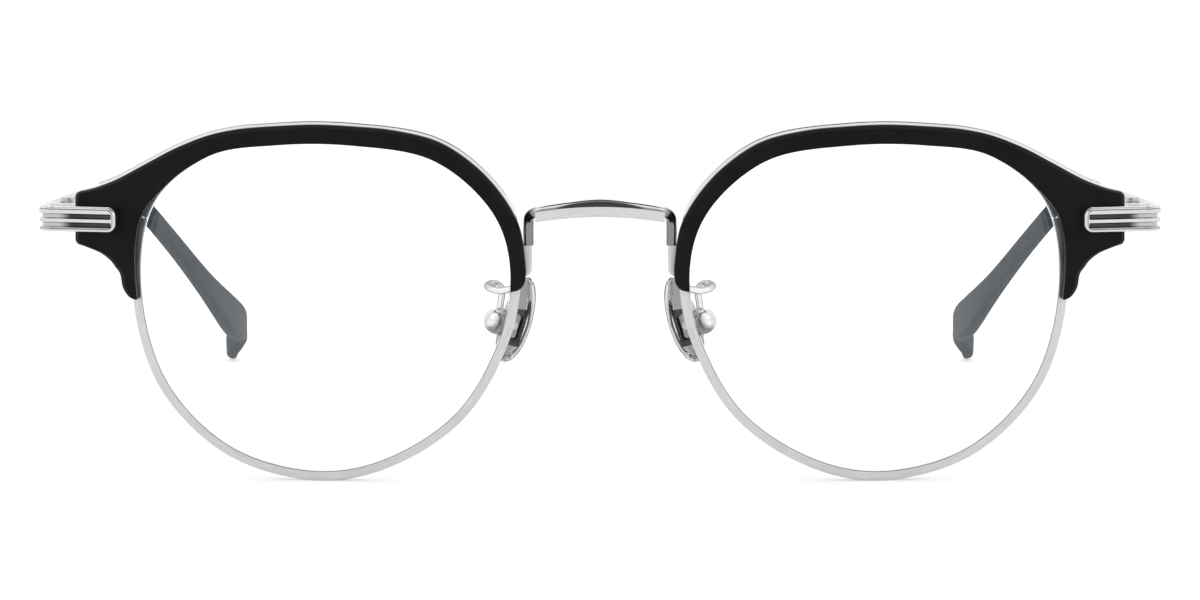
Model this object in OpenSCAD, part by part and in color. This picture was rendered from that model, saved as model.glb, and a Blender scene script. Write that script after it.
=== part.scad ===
// Combination eyeglasses: metal rims, bridge and temples, with an acetate brow over each lens.
// The pieces stand open on a table: +Z is up, the front looks along -Y, +X is the wearer's left.
// The origin is on the table, in the middle of the glasses. All sizes are in millimetres.

/* [Lenses] */
// Width of one lens opening
lens_w = 46.8; // [42:0.1:52]
// Height of one lens opening
lens_h = 41.7; // [37:0.1:46]
// Thickness of a lens
lens_t = 1.8; // [1.4:0.1:2.2]
// Radius of the curve that both faces of a lens follow
curve_r = 132; // [115:1:220]
// How far the axis of that curve lies towards the nose from the middle of the lens
wrap_shift = 9.6; // [4:0.1:14]
// Distance between the two openings at the nose
nose_w = 22.6; // [20:0.1:26]
// How far the bevelled edge of a lens reaches into its groove
bevel = 0.5; // [0.3:0.05:0.6]

/* [Rims] */
// Width of a rim wire, seen from the front
rim_w = 1.2; // [0.95:0.05:1.4]
// Depth of a rim wire, front to back
rim_d = 2.0; // [1.8:0.1:2.4]
// Gap where the two ends of a rim meet
rim_split = 0.3; // [0.2:0.05:0.5]

/* [Brows] */
// Width of a brow over the top of the lens
brow_w = 2.35; // [2.05:0.05:2.8]
// Thickness of a brow
brow_t = 2.2; // [1.8:0.1:3]
// Width of the sloping shoulder along a brow's outer edge
shoulder = 0.5; // [0.3:0.05:0.7]
// How far a brow's outer end reaches beyond its lens opening
wing_reach = 8.4; // [8:0.1:11]
// Height of a brow's outer end
wing_h = 6.8; // [5.8:0.1:7.6]
// How much of the metal trim shows above a brow
trim_show = 0.45; // [0.2:0.05:0.6]
// Depth of the metal trim
trim_d = 1.2; // [0.8:0.1:1.6]

/* [Bridge] */
// Length of the faced plate on the bridge
plate_l = 16.2; // [14:0.1:18]
// Height of the plate's front face
plate_h = 1.3; // [1:0.05:1.5]
// Height of the plate's sloping upper face at the middle
plate_crown = 0.6; // [0.4:0.05:0.9]
// Length over which that upper face rises and falls
crown_l = 11.6; // [9:0.2:14]
// How far the bridge rises from its ends to its middle
bridge_rise = 0.65; // [0.4:0.05:1.2]
// Width of a bridge leg, seen from the front
leg_w = 1.3; // [0.9:0.05:1.4]
// Thickness of the bridge bar and its legs, front to back
leg_d = 1.4; // [1.1:0.1:1.8]
// Height of a leg's foot, the block that is soldered to the rim
foot_h = 4; // [3:0.1:5]

/* [Nose pads] */
// Length of a nose pad
pad_l = 11.4; // [10:0.1:14]
// Width of a nose pad
pad_w = 6; // [5.6:0.1:8]
// Thickness of a nose pad
pad_t = 1.7; // [1.6:0.1:2.4]
// Lean of a pad towards the nose at its top
pad_lean = 21; // [12:1:25]
// Turn of a pad's back edge away from the nose
pad_splay = 37; // [25:1:42]
// Diameter of the wire that carries a pad
arm_wire = 0.9; // [0.8:0.05:1]
// Diameter of the cup at the end of the pad's wire
cup_d = 3.3; // [2.8:0.1:3.6]
// Depth of the cup
cup_depth = 2.2; // [1.6:0.1:2.6]

/* [Endpieces and hinges] */
// Height of an endpiece plate
end_h = 3.2; // [2.9:0.05:3.6]
// Thickness of an endpiece plate and of the arm behind it
end_t = 1.3; // [1.1:0.05:1.5]
// Length of the plate that lies on the brow
end_l = 5.5; // [4.5:0.1:7]
// Radius of the corners where that plate ends on the brow
end_round = 1.1; // [0.6:0.1:1.4]
// How far the endpiece's outer face stands beyond the end of the brow
end_out = 4.7; // [4.2:0.1:6]
// Radius of the corner where the plate turns back
corner_r = 2.2; // [1.6:0.1:2.8]
// Distance from the brow's end back to the hinge pin
hinge_back = 5.6; // [5:0.1:8]
// Width of each of the two channels along the plate
channel_w = 0.55; // [0.4:0.05:0.65]
// Depth of the channels
channel_d = 0.4; // [0.2:0.05:0.5]
// Outer diameter of the hinge barrels
barrel_d = 2.4; // [2.2:0.1:2.8]
// Diameter of the hinge screw's shank
pin_d = 1.2; // [1:0.05:1.4]
// Length of each hinge leaf
leaf_l = 3.6; // [3:0.1:5]

/* [Temples] */
// Length of a temple from its hinge to its end, measured straight back
temple_l = 126; // [115:1:140]
// How far the end of a temple lies inwards from its root
temple_inset = 9.95; // [5:0.05:11]
// Length of the temple that shows before its tip, as a share of the straight length
bare_share = 0.48; // [0.44:0.01:0.54]
// Height of a tip where it starts
tip_h = 2.8; // [2.7:0.1:3.6]
// Thickness of a tip
tip_t = 2.1; // [2:0.1:2.6]
// Height of a tip at its widest, near its end
tip_flare = 6.1; // [4.5:0.1:6.8]

/* [Clearances] */
// Gap between parts that are seated against each other
seat_gap = 0.03; // [0.02:0.01:0.05]
// Gap round a turning pin, and between a moving part and its neighbour
run_gap = 0.05; // [0.04:0.01:0.08]

/* [Hidden] */

// --- the lens outline -------------------------------------------------------------------------
// Knots of the opening in half widths and half heights from its middle, from the nose side
// (negative x) up and over the top. The outline is a smooth closed curve through them.
OUTLINE = [[-0.955, -0.15], [-1, 0.28], [-0.884, 0.623], [-0.58, 0.9], [-0.155, 0.983],
    [0.25, 0.983], [0.623, 0.91], [0.932, 0.613], [1, 0.1], [0.87, -0.455], [0.53, -0.85],
    [0.08, -1], [-0.33, -0.92], [-0.72, -0.625]];
KNOTS = len(OUTLINE);
STEPS = 6;  // straight pieces between two knots

function blend(p0, p1, p2, p3, f) =
    0.5 * (2 * p1 + (p2 - p0) * f + (2 * p0 - 5 * p1 + 4 * p2 - p3) * f * f
        + (p3 - 3 * p2 + 3 * p1 - p0) * f * f * f);
function knot(i) = OUTLINE[(i + KNOTS) % KNOTS];
function unit_at(t) = let (i = floor(t), f = t - floor(t))
    blend(knot(i - 1), knot(i), knot(i + 1), knot(i + 2), f);
function scaled(u) = [u.x * lens_w / 2, u.y * lens_h / 2];
function turned(v) = [-v.y, v.x] / norm(v);
// Outward normal of the outline at knot position t
function normal_at(t) = turned(scaled(unit_at(t + 0.01)) - scaled(unit_at(t - 0.01)));
// The point that lies w outside the opening's edge, measured from the lens's middle
function around(t, w) = scaled(unit_at(t)) + w * normal_at(t);

lens_x = nose_w / 2 + lens_w / 2;
lens_z = -min([for (i = [0:KNOTS * STEPS - 1]) around(i / STEPS, rim_w).y]);
curve_x = lens_x - wrap_shift;
// A point in the front view, w outside the opening's edge
function edge(t, w) = [lens_x, lens_z] + around(t, w);
// How far the curved front lies back at a point of the front view
function sag(p) = curve_r - sqrt(curve_r * curve_r - pow(p.x - curve_x, 2) - pow(p.y - lens_z, 2));
// The point of the front view p at depth d behind the lens's front face
function lay(p, d) = [p.x, sag(p) + d, p.y];

rim_front = lens_t / 2 - rim_d / 2;
rim_back = lens_t / 2 + rim_d / 2;
brow_back = rim_front - seat_gap;
brow_front = brow_back - brow_t;

// --- general shapes ---------------------------------------------------------------------------
over = 1;  // how far a cut runs on past the solid that it cuts
joined = 0.1;  // how far two shapes of one solid run into each other
cut_depth = 40;  // more than the front's depth
// A closed solid through rings of points: every ring has the same number of points, in the same
// order, and the end caps are fans from each ring's first point.
module skin(rings) {
    n = len(rings[0]);
    last = len(rings) - 1;
    polyhedron(
        points = [for (ring = rings) for (p = ring) p],
        faces = concat(
            [for (i = [0:last - 1]) for (j = [0:n - 1]) [i * n + j, i * n + (j + 1) % n, (i + 1) * n + j]],
            [for (i = [0:last - 1]) for (j = [0:n - 1])
                [i * n + (j + 1) % n, (i + 1) * n + (j + 1) % n, (i + 1) * n + j]],
            [for (j = [1:n - 2]) [0, j + 1, j]],
            [for (j = [1:n - 2]) [last * n, last * n + j, last * n + j + 1]]),
        convexity = 8);
}
// A smooth open curve through knots, at m points a stretch; it runs straight out at its ends
function curve(P, m) = let (n = len(P), Q = concat([2 * P[0] - P[1]], P, [2 * P[n - 1] - P[n - 2]]))
    concat([for (i = [1:n - 1]) for (k = [0:m - 1]) blend(Q[i - 1], Q[i], Q[i + 1], Q[i + 2], k / m)],
        [P[n - 1]]);
function unit(v) = v / norm(v);
function tangent(P, i) = unit(P[min(i + 1, len(P) - 1)] - P[max(i - 1, 0)]);
// A rounded rectangle of 12 points, w across and h high, with corner radius r
function section(w, h, r) = [for (q = [0:3]) for (a = [0, 45, 90])
    let (sx = (q == 0 || q == 3) ? 1 : -1, sz = q < 2 ? 1 : -1)
    [sx * (w / 2 - r) + r * cos(q * 90 + a), sz * (h / 2 - r) + r * sin(q * 90 + a)]];
// A flat section set square to a path at p: its x runs level, its y runs up
function across(p, t, S) = let (side = unit(cross(t, [0, 0, 1])), up = cross(side, t))
    [for (s = S) p + s.x * side + s.y * up];

// Everything is drawn on the wearer's left; side -1 mirrors it, and the whole stands on its origin
module place(side) translate([0, -middle_y, 0]) mirror([side < 0 ? 1 : 0, 0, 0]) children();

// --- lenses and rims --------------------------------------------------------------------------
COUNT = KNOTS * STEPS;
groove_half = 0.5;
function lens_ring(share, w, d) = [for (i = [0:COUNT - 1])
    let (p = [lens_x, lens_z] + share * around(i / STEPS, w)) lay(p, d)];

module lens(side) color("aliceblue", 0.35) place(side) {
    edge_w = -seat_gap;
    rings = [lens_ring(0.5, edge_w, 0), lens_ring(1, edge_w, 0),
        lens_ring(1, edge_w, lens_t / 2 - groove_half + seat_gap),
        lens_ring(1, bevel - seat_gap, lens_t / 2),
        lens_ring(1, edge_w, lens_t / 2 + groove_half - seat_gap),
        lens_ring(1, edge_w, lens_t), lens_ring(0.5, edge_w, lens_t)];
    last = len(rings) - 1;
    n = COUNT;
    front = n * len(rings);
    polyhedron(
        points = concat([for (ring = rings) for (p = ring) p],
            [lay([lens_x, lens_z], 0), lay([lens_x, lens_z], lens_t)]),
        faces = concat(
            [for (i = [0:last - 1]) for (j = [0:n - 1]) [i * n + (j + 1) % n, i * n + j, (i + 1) * n + j]],
            [for (i = [0:last - 1]) for (j = [0:n - 1])
                [(i + 1) * n + (j + 1) % n, i * n + (j + 1) % n, (i + 1) * n + j]],
            [for (j = [0:n - 1]) [front, j, (j + 1) % n]],
            [for (j = [0:n - 1]) [front + 1, last * n + (j + 1) % n, last * n + j]]),
        convexity = 4);
}

// The rim is split where its two ends meet, at the height of the endpiece
lock_t = 7.19;
end_z = edge(lock_t, 0).y;
lock_gap_t = rim_split / norm(edge(lock_t + 0.5, 0) - edge(lock_t - 0.5, 0)) / 2;
RIM_STATIONS = 84;
rim_chamfer = 0.25;
function rim_ring(t) = [for (q = [[bevel + seat_gap, lens_t / 2],
        [0, lens_t / 2 - groove_half], [0, rim_front],
        [rim_w - rim_chamfer, rim_front], [rim_w, rim_front + rim_chamfer],
        [rim_w, rim_back - rim_chamfer], [rim_w - rim_chamfer, rim_back],
        [0, rim_back], [0, lens_t / 2 + groove_half]])
    let (p = edge(t, q[0])) lay(p, q[1])];

module rim(side) color("silver") place(side) {
    t0 = lock_t + lock_gap_t;
    span = KNOTS - 2 * lock_gap_t;
    skin([for (i = [0:RIM_STATIONS]) rim_ring(t0 + span * i / RIM_STATIONS)]);
}

// --- brows ------------------------------------------------------------------------------------
wing_x = lens_x + lens_w / 2 + wing_reach;
wing_round = 0.8;
wing_turn = 78;  // how far each of its corners turns
bare_line = 0.7;  // greatest width of the metal left bare beside the endpiece
bare_loss = 0.5;  // share of it that is lost towards the brow's lower end
bevel_in = 0.12;  // bevel along a brow's inner edge
full_w = 1.6;  // width from which a brow has its full shoulder and bevel
even_from = 1.5;
even_to = 5.5;  // between these outline positions a brow is a band over the rim
nose_thin = 0.08;  // the share of its width that the band has lost where it starts
function brow_at(t) = brow_w * (1 - nose_thin * (1 - step_up(t, 1.9, 3)));
// Knots along a brow's outer edge. Each holds the outline position of the inner point that it
// faces, and its own place in the front view.
function band(t, w) = let (p = edge(t, w)) [t, p.x, p.y];
function wing(t, back, up) = [t, wing_x - back, end_z + up];
// From the end of the band to the wing's shoulder, where the trim ends
TOP_END = [band(5.9, brow_w + 0.1), band(6.3, brow_w + 0.58), band(6.6, brow_w + 1.2),
    wing(6.87, 5.7, wing_h / 2 + 1.7), wing(7.02, 3, wing_h / 2 + 0.6)];
BROW_TOP = concat(
    [band(0.58, 0.12), band(0.62, brow_w * 0.51), band(0.74, brow_w * 0.78), band(1, brow_w * 0.82)],
    [for (t = [even_from:0.5:even_to]) band(t, brow_at(t))], TOP_END, [wing(7.1, 1.3, wing_h / 2 + 0.1)]);
BROW_LEG = [wing(7.5, 1.4, -wing_h / 2 - 0.2), wing(7.57, 3.3, -wing_h / 2 - 0.93),
    wing(7.62, 4.6, -wing_h / 2 - 1.84), wing(7.68, 5.3, -wing_h / 2 - 2.7),
    band(7.82, brow_w + 0.1), band(7.95, brow_w * 0.93), band(8.02, brow_w * 0.77),
    band(8.07, brow_w * 0.55), band(8.095, brow_w * 0.28)];
function wing_corner(t0, t1, top) = [for (k = [0:3])
    let (f = k / 3, a = wing_turn * (top ? 1 - f : -f))
    [t0 + (t1 - t0) * f, wing_x - wing_round + wing_round * cos(a),
        end_z + (top ? 1 : -1) * (wing_h / 2 - wing_round) + wing_round * sin(a)]];
BROW_EDGE = concat(curve(BROW_TOP, 3), wing_corner(7.15, 7.2, true), wing_corner(7.35, 7.42, false),
    curve(BROW_LEG, 3));

// The brow covers the rim up to the opening, but leaves a line of metal bare beside the endpiece
function step_up(t, from, to) = let (f = max(0, min(1, (t - from) / (to - from)))) f * f * (3 - 2 * f);
function bare(t) = bare_line * (step_up(t, 6.7, 7.25) - bare_loss * step_up(t, 7.3, 8.1));
function brow_ring(k) = let (inner = edge(k[0], bare(k[0])),
        outer = [k[1], k[2]], l = norm(outer - inner),
        e = (outer - inner) / l, s = min(1, l / full_w))
    [for (q = [[0, brow_back], [0, brow_front + bevel_in * s], [bevel_in * s, brow_front],
            [l / 2, brow_front], [l - shoulder * s, brow_front], [l, brow_front + shoulder * s],
            [l, brow_back], [l * 2 / 3, brow_back], [l / 3, brow_back]])
        lay(inner + q[0] * e, q[1])];

// The screw that holds a brow to its endpiece enters the web from behind, square to the curve
screw_x = wing_x - 2.4;
brow_screw_d = 0.9;
screw_over = 0.5;  // clear of the screw's head
screw_spare = 0.1;  // left under the screw's end
brow_screw_bite = 1.3;
module brow_screw_at() translate([screw_x, web_y(screw_x) + web_t, end_z + web_up])
    rotate([90, 0, asin((screw_x - curve_x) / curve_r)]) children();
module brow_screw_hole() brow_screw_at() translate([0, 0, -screw_over]) cylinder(
    d = brow_screw_d + 2 * seat_gap, h = screw_over + web_t + brow_screw_bite + screw_spare, $fn = 32);

module brow(side) color("black") place(side) difference() {
    skin([for (k = BROW_EDGE) brow_ring(k)]);
    brow_screw_hole();
}

// The outline position, between lo and hi on the nose's side, where the line w outside is at height z
function rise_to(z, w, lo, hi) = let (mid = (lo + hi) / 2)
    hi - lo < 0.001 ? mid : edge(mid, w).y < z ? rise_to(z, w, mid, hi) : rise_to(z, w, lo, mid);

// The metal trim backs the brow's outer edge, from just above the bridge's foot to the wing's
// shoulder. Where it starts it is drawn in, clear of the bridge's leg.
foot_drop = 3.2;  // from the endpieces' middle down to the top of a foot
foot_top = end_z - foot_drop;
trim_lift = 0.2;  // from the top of a foot up to the trim
trim_clear = 0.1;  // between the trim and the leg
tuck_to = 2;  // the outline position where the trim has come out
trim_chamfer = 0.2;
trim_w = brow_at(even_from) + trim_show - rim_w - 3 * seat_gap;
trim_from = rise_to(foot_top + trim_lift, rim_w, 0.5, 3);
// How far the trim is drawn in where it starts
function trim_tuck() = brow_at(trim_from) + trim_show
    - (edge(trim_from, 0).x - leg_x - leg_w - trim_clear) / -normal_at(trim_from).x;
TRIM_STEPS = 16;
TRIM_KNOTS = concat(
    [for (i = [0:TRIM_STEPS])
        let (t = trim_from + (even_to - trim_from) * i / TRIM_STEPS) band(t, brow_at(t))], TOP_END);
module brow_trim(side) color("silver") place(side) {
    K = curve(TRIM_KNOTS, 2);
    P = [for (k = K) [k[1], k[2]]];
    skin([for (i = [0:len(P) - 1])
        let (n = turned(tangent(P, i)), low = trim_show - trim_w,
            top = trim_show - trim_tuck() * (1 - step_up(K[i][0], trim_from, tuck_to)))
        [for (q = [[low, rim_front], [top - trim_chamfer, rim_front], [top, rim_front + trim_chamfer],
                [top, rim_front + trim_d - trim_chamfer], [top - trim_chamfer, rim_front + trim_d],
                [low, rim_front + trim_d]])
            lay(P[i] + q[0] * n, q[1])]]);
}

// --- endpieces --------------------------------------------------------------------------------
end_x = wing_x + end_out;  // outer face
end_low = end_z - end_h / 2;
plate_back = brow_front - 2 * seat_gap;
hinge_y = sag([wing_x, end_z]) + hinge_back;
arm_end_y = hinge_y - run_gap / 2;
// The line that the plate's outer face follows in the plan, from its inner end round to the hinge
function plate_y(x) = sag([x, end_low]) + plate_back - end_t;
turn_x = end_x - corner_r;
ARC = 10;
plate_in_x = wing_x - end_l;
channel_end = 0.75;  // the plain border that closes the channels at the plate's inner end
channel_apart = end_h * 0.34;  // between the middles of the two channels
channel_drop = 0.2;  // how far both lie below the plate's middle
channel_x = plate_in_x + channel_end;
END_PATH = concat([[plate_in_x, plate_y(plate_in_x)]],
    [for (i = [0:5]) let (x = channel_x + (turn_x - channel_x) * i / 5) [x, plate_y(x)]],
    [for (i = [1:ARC]) let (a = -90 + 90 * i / ARC)
        [turn_x + corner_r * cos(a), plate_y(turn_x) + corner_r + corner_r * sin(a)]],
    [[end_x, arm_end_y]]);
// A strip of that line, from depth a to depth b behind the outer face
function strip_edge(d, from) = [for (i = [from:len(END_PATH) - 1]) let (t = tangent(END_PATH, i))
    END_PATH[i] + d * [-t.y, t.x]];
module strip(a, b, from = 0) polygon(concat(strip_edge(a, from),
    [let (E = strip_edge(b, from)) for (i = [len(E) - 1:-1:0]) E[i]]));

// The web runs behind the brow from the rim's upper lock to the endpiece's arm
web_up = 0.9;
web_h = 1.5;
web_t = 1.3;
lock_in_x = edge(lock_t, rim_w).x;
lock_l = 2.6;
lock_h = 1.65;
lock_out_x = lock_in_x + lock_l;
function web_y(x) = sag([x, end_z + web_up + web_h / 2]) + rim_front + seat_gap;
WEB_X = [for (i = [0:5]) lock_out_x + (end_x - end_t / 2 - lock_out_x) * i / 5];
module web_plan() polygon(concat(
    [for (x = WEB_X) [x, web_y(x)]],
    [for (i = [len(WEB_X) - 1:-1:0]) [WEB_X[i], web_y(WEB_X[i]) + web_t]]));

module endpiece(side) color("silver") place(side) difference() {
    union() {
        intersection() {
            translate([0, 0, end_low]) linear_extrude(end_h) strip(0, end_t);
            // the plate's inner end has round corners
            translate([plate_in_x, hinge_y + over, end_z]) rotate([90, 0, 0])
                linear_extrude(cut_depth) union() {
                    for (s = [-1, 1]) translate([end_round, s * (end_h / 2 - end_round)])
                        circle(end_round, $fn = 48);
                    translate([0, end_round - end_h / 2]) square([end_l, end_h - 2 * end_round]);
                    translate([end_round, -end_h / 2]) square([end_l + end_out, end_h]);
                }
        }
        translate([0, 0, end_z + web_up - web_h / 2]) linear_extrude(web_h) web_plan();
    }
    for (s = [-1, 1]) translate([0, 0, end_z - channel_drop + s * channel_apart / 2 - channel_w / 2])
        linear_extrude(channel_w) strip(-over, channel_d, 1);
    brow_screw_hole();
}

head_w = 0.5;  // how much wider a screw's head is than its shank
head_h = 0.45;
slot_w = 0.25;
slot_d = 0.2;
// A cheese-head screw: its head's seat is at z = 0, the head is below and the shank goes up
module small_screw(d, l) difference() {
    union() {
        translate([0, 0, -head_h - seat_gap]) cylinder(d = d + head_w, h = head_h, $fn = 32);
        translate([0, 0, -seat_gap - joined]) cylinder(d = d, h = l + seat_gap + joined, $fn = 32);
    }
    translate([-d, -slot_w / 2, -head_h - seat_gap - over]) cube([2 * d, slot_w, slot_d + over]);
}
module brow_screw(side) color("silver") place(side) brow_screw_at()
    small_screw(brow_screw_d, web_t + brow_screw_bite);

// --- rim locks --------------------------------------------------------------------------------
lock_y = sag([lock_out_x, end_z + rim_split / 2 + lock_h]) + rim_front + seat_gap;
lock_d = 1.9;
lock_sunk = 0.6;  // how far a block starts inside the rim's edge, which then cuts it to fit
lock_screw_out = 0.1;  // how far its screw stands outwards of its middle
lock_screw_x = lock_in_x + lock_l / 2 + lock_screw_out;
lock_screw_y = lock_y + lock_d / 2;
lock_screw_d = 0.9;
lock_screw_short = 0.2;  // how far the screw stops short of the upper block's top
module rim_outside() rotate([90, 0, 0]) linear_extrude(cut_depth, center = true)
    polygon([for (i = [0:COUNT - 1]) edge(i / STEPS, rim_w + seat_gap)]);
module rim_lock(side, up) color("silver") place(side) difference() {
    translate([lock_in_x - lock_sunk, lock_y, up ? end_z + rim_split / 2 : end_z - rim_split / 2 - lock_h])
        cube([lock_l + lock_sunk, lock_d, lock_h]);
    rim_outside();
    translate([lock_screw_x, lock_screw_y, end_z - 2 * lock_h])
        cylinder(d = lock_screw_d + 2 * seat_gap, h = 4 * lock_h, $fn = 32);
}
module rim_screw(side) color("silver") place(side)
    translate([lock_screw_x, lock_screw_y, end_z - rim_split / 2 - lock_h])
        small_screw(lock_screw_d, 2 * lock_h + rim_split - lock_screw_short);

// --- hinges -----------------------------------------------------------------------------------
arm_in_x = end_x - end_t;
barrel_off = 0.1;  // between the barrels and the arm
hinge_x = arm_in_x - barrel_d / 2 - barrel_off;
leaf_t = 0.7;
stack_h = end_h - seat_gap;
mid_h = stack_h * 0.4;
outer_h = (stack_h - mid_h) / 2 - run_gap;
barrel_bore = pin_d + 2 * run_gap;
module hinge_at(z) translate([hinge_x, hinge_y, end_z + z]) children();
leaf_x = barrel_d / 2 + barrel_off - leaf_t - seat_gap;
// The front leaf fills the endpiece's arm from the web back to the hinge
front_leaf_l = hinge_y - web_y(arm_in_x) - web_t - 2 * seat_gap;
module hinge_front(side) color("silver") place(side) difference() {
    union() {
        for (z = [-stack_h / 2, stack_h / 2 - outer_h]) hinge_at(z)
            cylinder(d = barrel_d, h = outer_h, $fn = 48);
        hinge_at(-stack_h / 2) translate([leaf_x, -front_leaf_l, 0]) cube([leaf_t, front_leaf_l, stack_h]);
    }
    hinge_at(-mid_h / 2 - run_gap) cylinder(d = barrel_d + 4 * run_gap, h = mid_h + 2 * run_gap, $fn = 48);
    hinge_at(-stack_h) cylinder(d = pin_d + 2 * seat_gap, h = 2 * stack_h, $fn = 48);
}
module hinge_temple(side) color("silver") place(side) difference() {
    union() {
        hinge_at(-mid_h / 2) cylinder(d = barrel_d, h = mid_h, $fn = 48);
        hinge_at(-stack_h / 2) translate([leaf_x, run_gap, 0]) cube([leaf_t, leaf_l, stack_h]);
    }
    for (z = [-stack_h / 2 - over, mid_h / 2]) hinge_at(z)
        cylinder(d = barrel_d + 4 * run_gap, h = (stack_h - mid_h) / 2 + over, $fn = 48);
    hinge_at(-stack_h) cylinder(d = barrel_bore, h = 2 * stack_h, $fn = 48);
}
module hinge_screw(side) color("silver") place(side) hinge_at(stack_h / 2) mirror([0, 0, 1])
    small_screw(pin_d, stack_h);

// --- temples and tips -------------------------------------------------------------------------
// Knots of a temple's centre line: share of the length back, of the inset and of the drop
TEMPLE = [[0, 0, 0], [0.24, 0.03, 0], [0.46, 0.08, 0.02], [0.56, 0.13, 0.09], [0.65, 0.51, 0.304],
    [0.74, 0.925, 0.55], [0.83, 1.16, 0.723], [0.92, 1.22, 0.82], [0.965, 1.025, 0.93], [1, 1, 1]];
root_y = hinge_y + run_gap / 2;
root_x = end_x - end_t / 2;
// Its stations are four times closer over the last step, where the tip rounds off
STATIONS = let (K = curve(TEMPLE, 4), n = len(K), step = (K[n - 1] - K[n - 2]) / 4)
    concat([for (i = [0:n - 2]) K[i]], [for (i = [1:4]) K[n - 2] + i * step]);
function temple_path(drop) = [for (k = STATIONS)
    [root_x - temple_inset * k[1], root_y + temple_l * k[0], end_z - drop * k[2]]];
function back_share(p) = (p.y - root_y) / temple_l;
// Height and thickness of the metal, and of the tip round it, along the share of the length back
core_share = 0.88;
mouth_h = 1.9;  // height of the metal where it enters the tip
core_end_h = 1.4;
core_end_t = 0.9;
function metal_h(s) = s < bare_share ? end_h - (end_h - mouth_h) * s / bare_share
    : mouth_h - (mouth_h - core_end_h) * min(1, (s - bare_share) / (core_share - bare_share));
function metal_t(s) = end_t - (end_t - core_end_t) * min(1, s / core_share);
tip_round = 0.42;  // radius of a tip's edges as a share of its thickness
metal_round = 0.3;  // radius of the edges of temples and of the bridge's bar
close_from = 0.955;  // where the tip starts to round off
close_left = 0.02;  // square of the share of its size that is left at its end
function tip_close(s) = s < close_from ? 1
    : sqrt(max(close_left, 1 - pow((s - close_from) / (1 - close_from), 2)));
flare_at = 0.85;  // where the tip is at its widest, and how gently it gets there
flare_spread = 0.1;
function tip_height(s) = tip_h + (tip_flare - tip_h) * exp(-pow((s - flare_at) / flare_spread, 2));
function tip_ring(P, i) = let (s = back_share(P[i]), c = tip_close(s))
    across(P[i], tangent(P, i), section(tip_t * c, tip_height(s) * c, tip_t * tip_round * c));
function metal_ring(P, i, gap) = let (s = back_share(P[i]))
    across(P[i], tangent(P, i), section(metal_t(s) + 2 * gap, metal_h(s) + 2 * gap, metal_round));
// The drop that brings the tip's lowest point down to the table
first_drop = end_z - tip_t;
low_share = 0.6;  // its lowest point is further back than this
function lowest(P) = min([for (i = [0:len(P) - 1]) if (back_share(P[i]) > low_share)
    for (q = tip_ring(P, i)) q.z]);
drop = first_drop + lowest(temple_path(first_drop));
PATH = temple_path(drop);
function after(s) = [for (i = [0:len(PATH) - 1]) if (back_share(PATH[i]) >= s - 0.0001) i];
tip_from = after(bare_share)[0];
core_to = after(core_share)[0];

module temple(side) color("silver") place(side) skin([for (i = [0:core_to]) metal_ring(PATH, i, 0)]);
module temple_tip(side) color("dimgray") place(side) {
    outer = [for (i = [tip_from:len(PATH) - 1]) tip_ring(PATH, i)];
    // the socket follows the metal from just past its end back to the mouth
    socket = [for (i = [core_to + 1:-1:tip_from]) metal_ring(PATH, i, run_gap)];
    skin(concat(socket, outer));
}

// --- bridge -----------------------------------------------------------------------------------
leg_in = 2.96;  // from the lens opening towards the nose, to the leg's inner face
leg_x = nose_w / 2 - leg_in;
leg_mid = leg_x + leg_w / 2;
leg_y = sag([leg_x, end_z]) + rim_front;
foot_step = 0.2;  // how far the foot's inner face stands back from the leg's
foot_d = rim_d - 0.2;
foot_reach = 3;  // from there past the rim's edge, which then cuts it to fit
bridge_up = 0.55;  // from the endpieces' middle up to the ends of the plate
bridge_z = end_z + bridge_up;
bar_y = leg_y - 0.7;  // middle of the bar's depth at the nose
bar_bow = 0.2;  // how far the bar's ends lie behind its middle
bar_up = 0.35;  // how far the bar's middle line stands above the plate's face at the nose
bar_part = 0.2;  // and how much further at its ends
bar_end_x = leg_x - 1.05;
plate_t = 1.1;
plate_lip = 0.1;  // how far the plate's upper face rises and leans back at its ends
plate_slope = 0.7;  // how far it leans back for each step that it rises further in
plate_pinch = 0.7;  // the share of its height that is left at the very ends
knuckle = [0.25, 0.1, 0.05];  // a knuckle's place: in from its leg, behind it, above the ends
leg_curl = 1.2;  // from the plate's ends down to where a leg is straight
plate_y0 = bar_y - leg_d / 2 - seat_gap - plate_t;
function arch_z(x) = bridge_z + bridge_rise * (1 - pow(2 * x / plate_l, 2));
function crown(x) = plate_crown * max(0, 1 - pow(2 * x / crown_l, 2));
function bar_knot(x) = let (f = pow(x / bar_end_x, 2))
    [x, bar_y + bar_bow * f, arch_z(x) + crown(x) + bar_up + bar_part * f];
// Knots of the bar's middle line: up a leg, over a knuckle and along the arch to its middle
BAR_SIDE = [[leg_mid, leg_y + leg_d / 2, foot_top + seat_gap],
    [leg_mid, leg_y + leg_d / 2, bridge_z - leg_curl],
    [leg_mid - knuckle.x, leg_y + knuckle.y, bridge_z + knuckle.z],
    bar_knot(bar_end_x), bar_knot(plate_l / 4)];
BAR = curve(concat([for (k = BAR_SIDE) [-k.x, k.y, k.z]], [bar_knot(0)],
    [for (i = [len(BAR_SIDE) - 1:-1:0]) BAR_SIDE[i]]), 4);
module bridge_bar() color("silver") place(1) {
    skin([for (i = [0:len(BAR) - 1]) let (t = tangent(BAR, i), side = unit(cross(t, [0, -1, 0])))
        [for (s = section(leg_w, leg_d, metal_round)) BAR[i] + s.x * side + s.y * cross(side, t)]]);
}
module bridge_plate() color("silver") place(1) {
    N = 20;
    skin([for (i = [0:N]) let (x = plate_l * (i / N - 0.5), z = arch_z(x), rise = crown(x),
            top = plate_h / 2 + plate_lip + rise, pinch = i == 0 || i == N ? plate_pinch : 1)
        [for (q = [[0, -plate_h / 2], [0, plate_h / 2], [plate_lip + rise * plate_slope, top],
                [plate_t, top], [plate_t, -plate_h / 2]])
            [x, plate_y0 + q[0], z + pinch * q[1]]]]);
}
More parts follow.
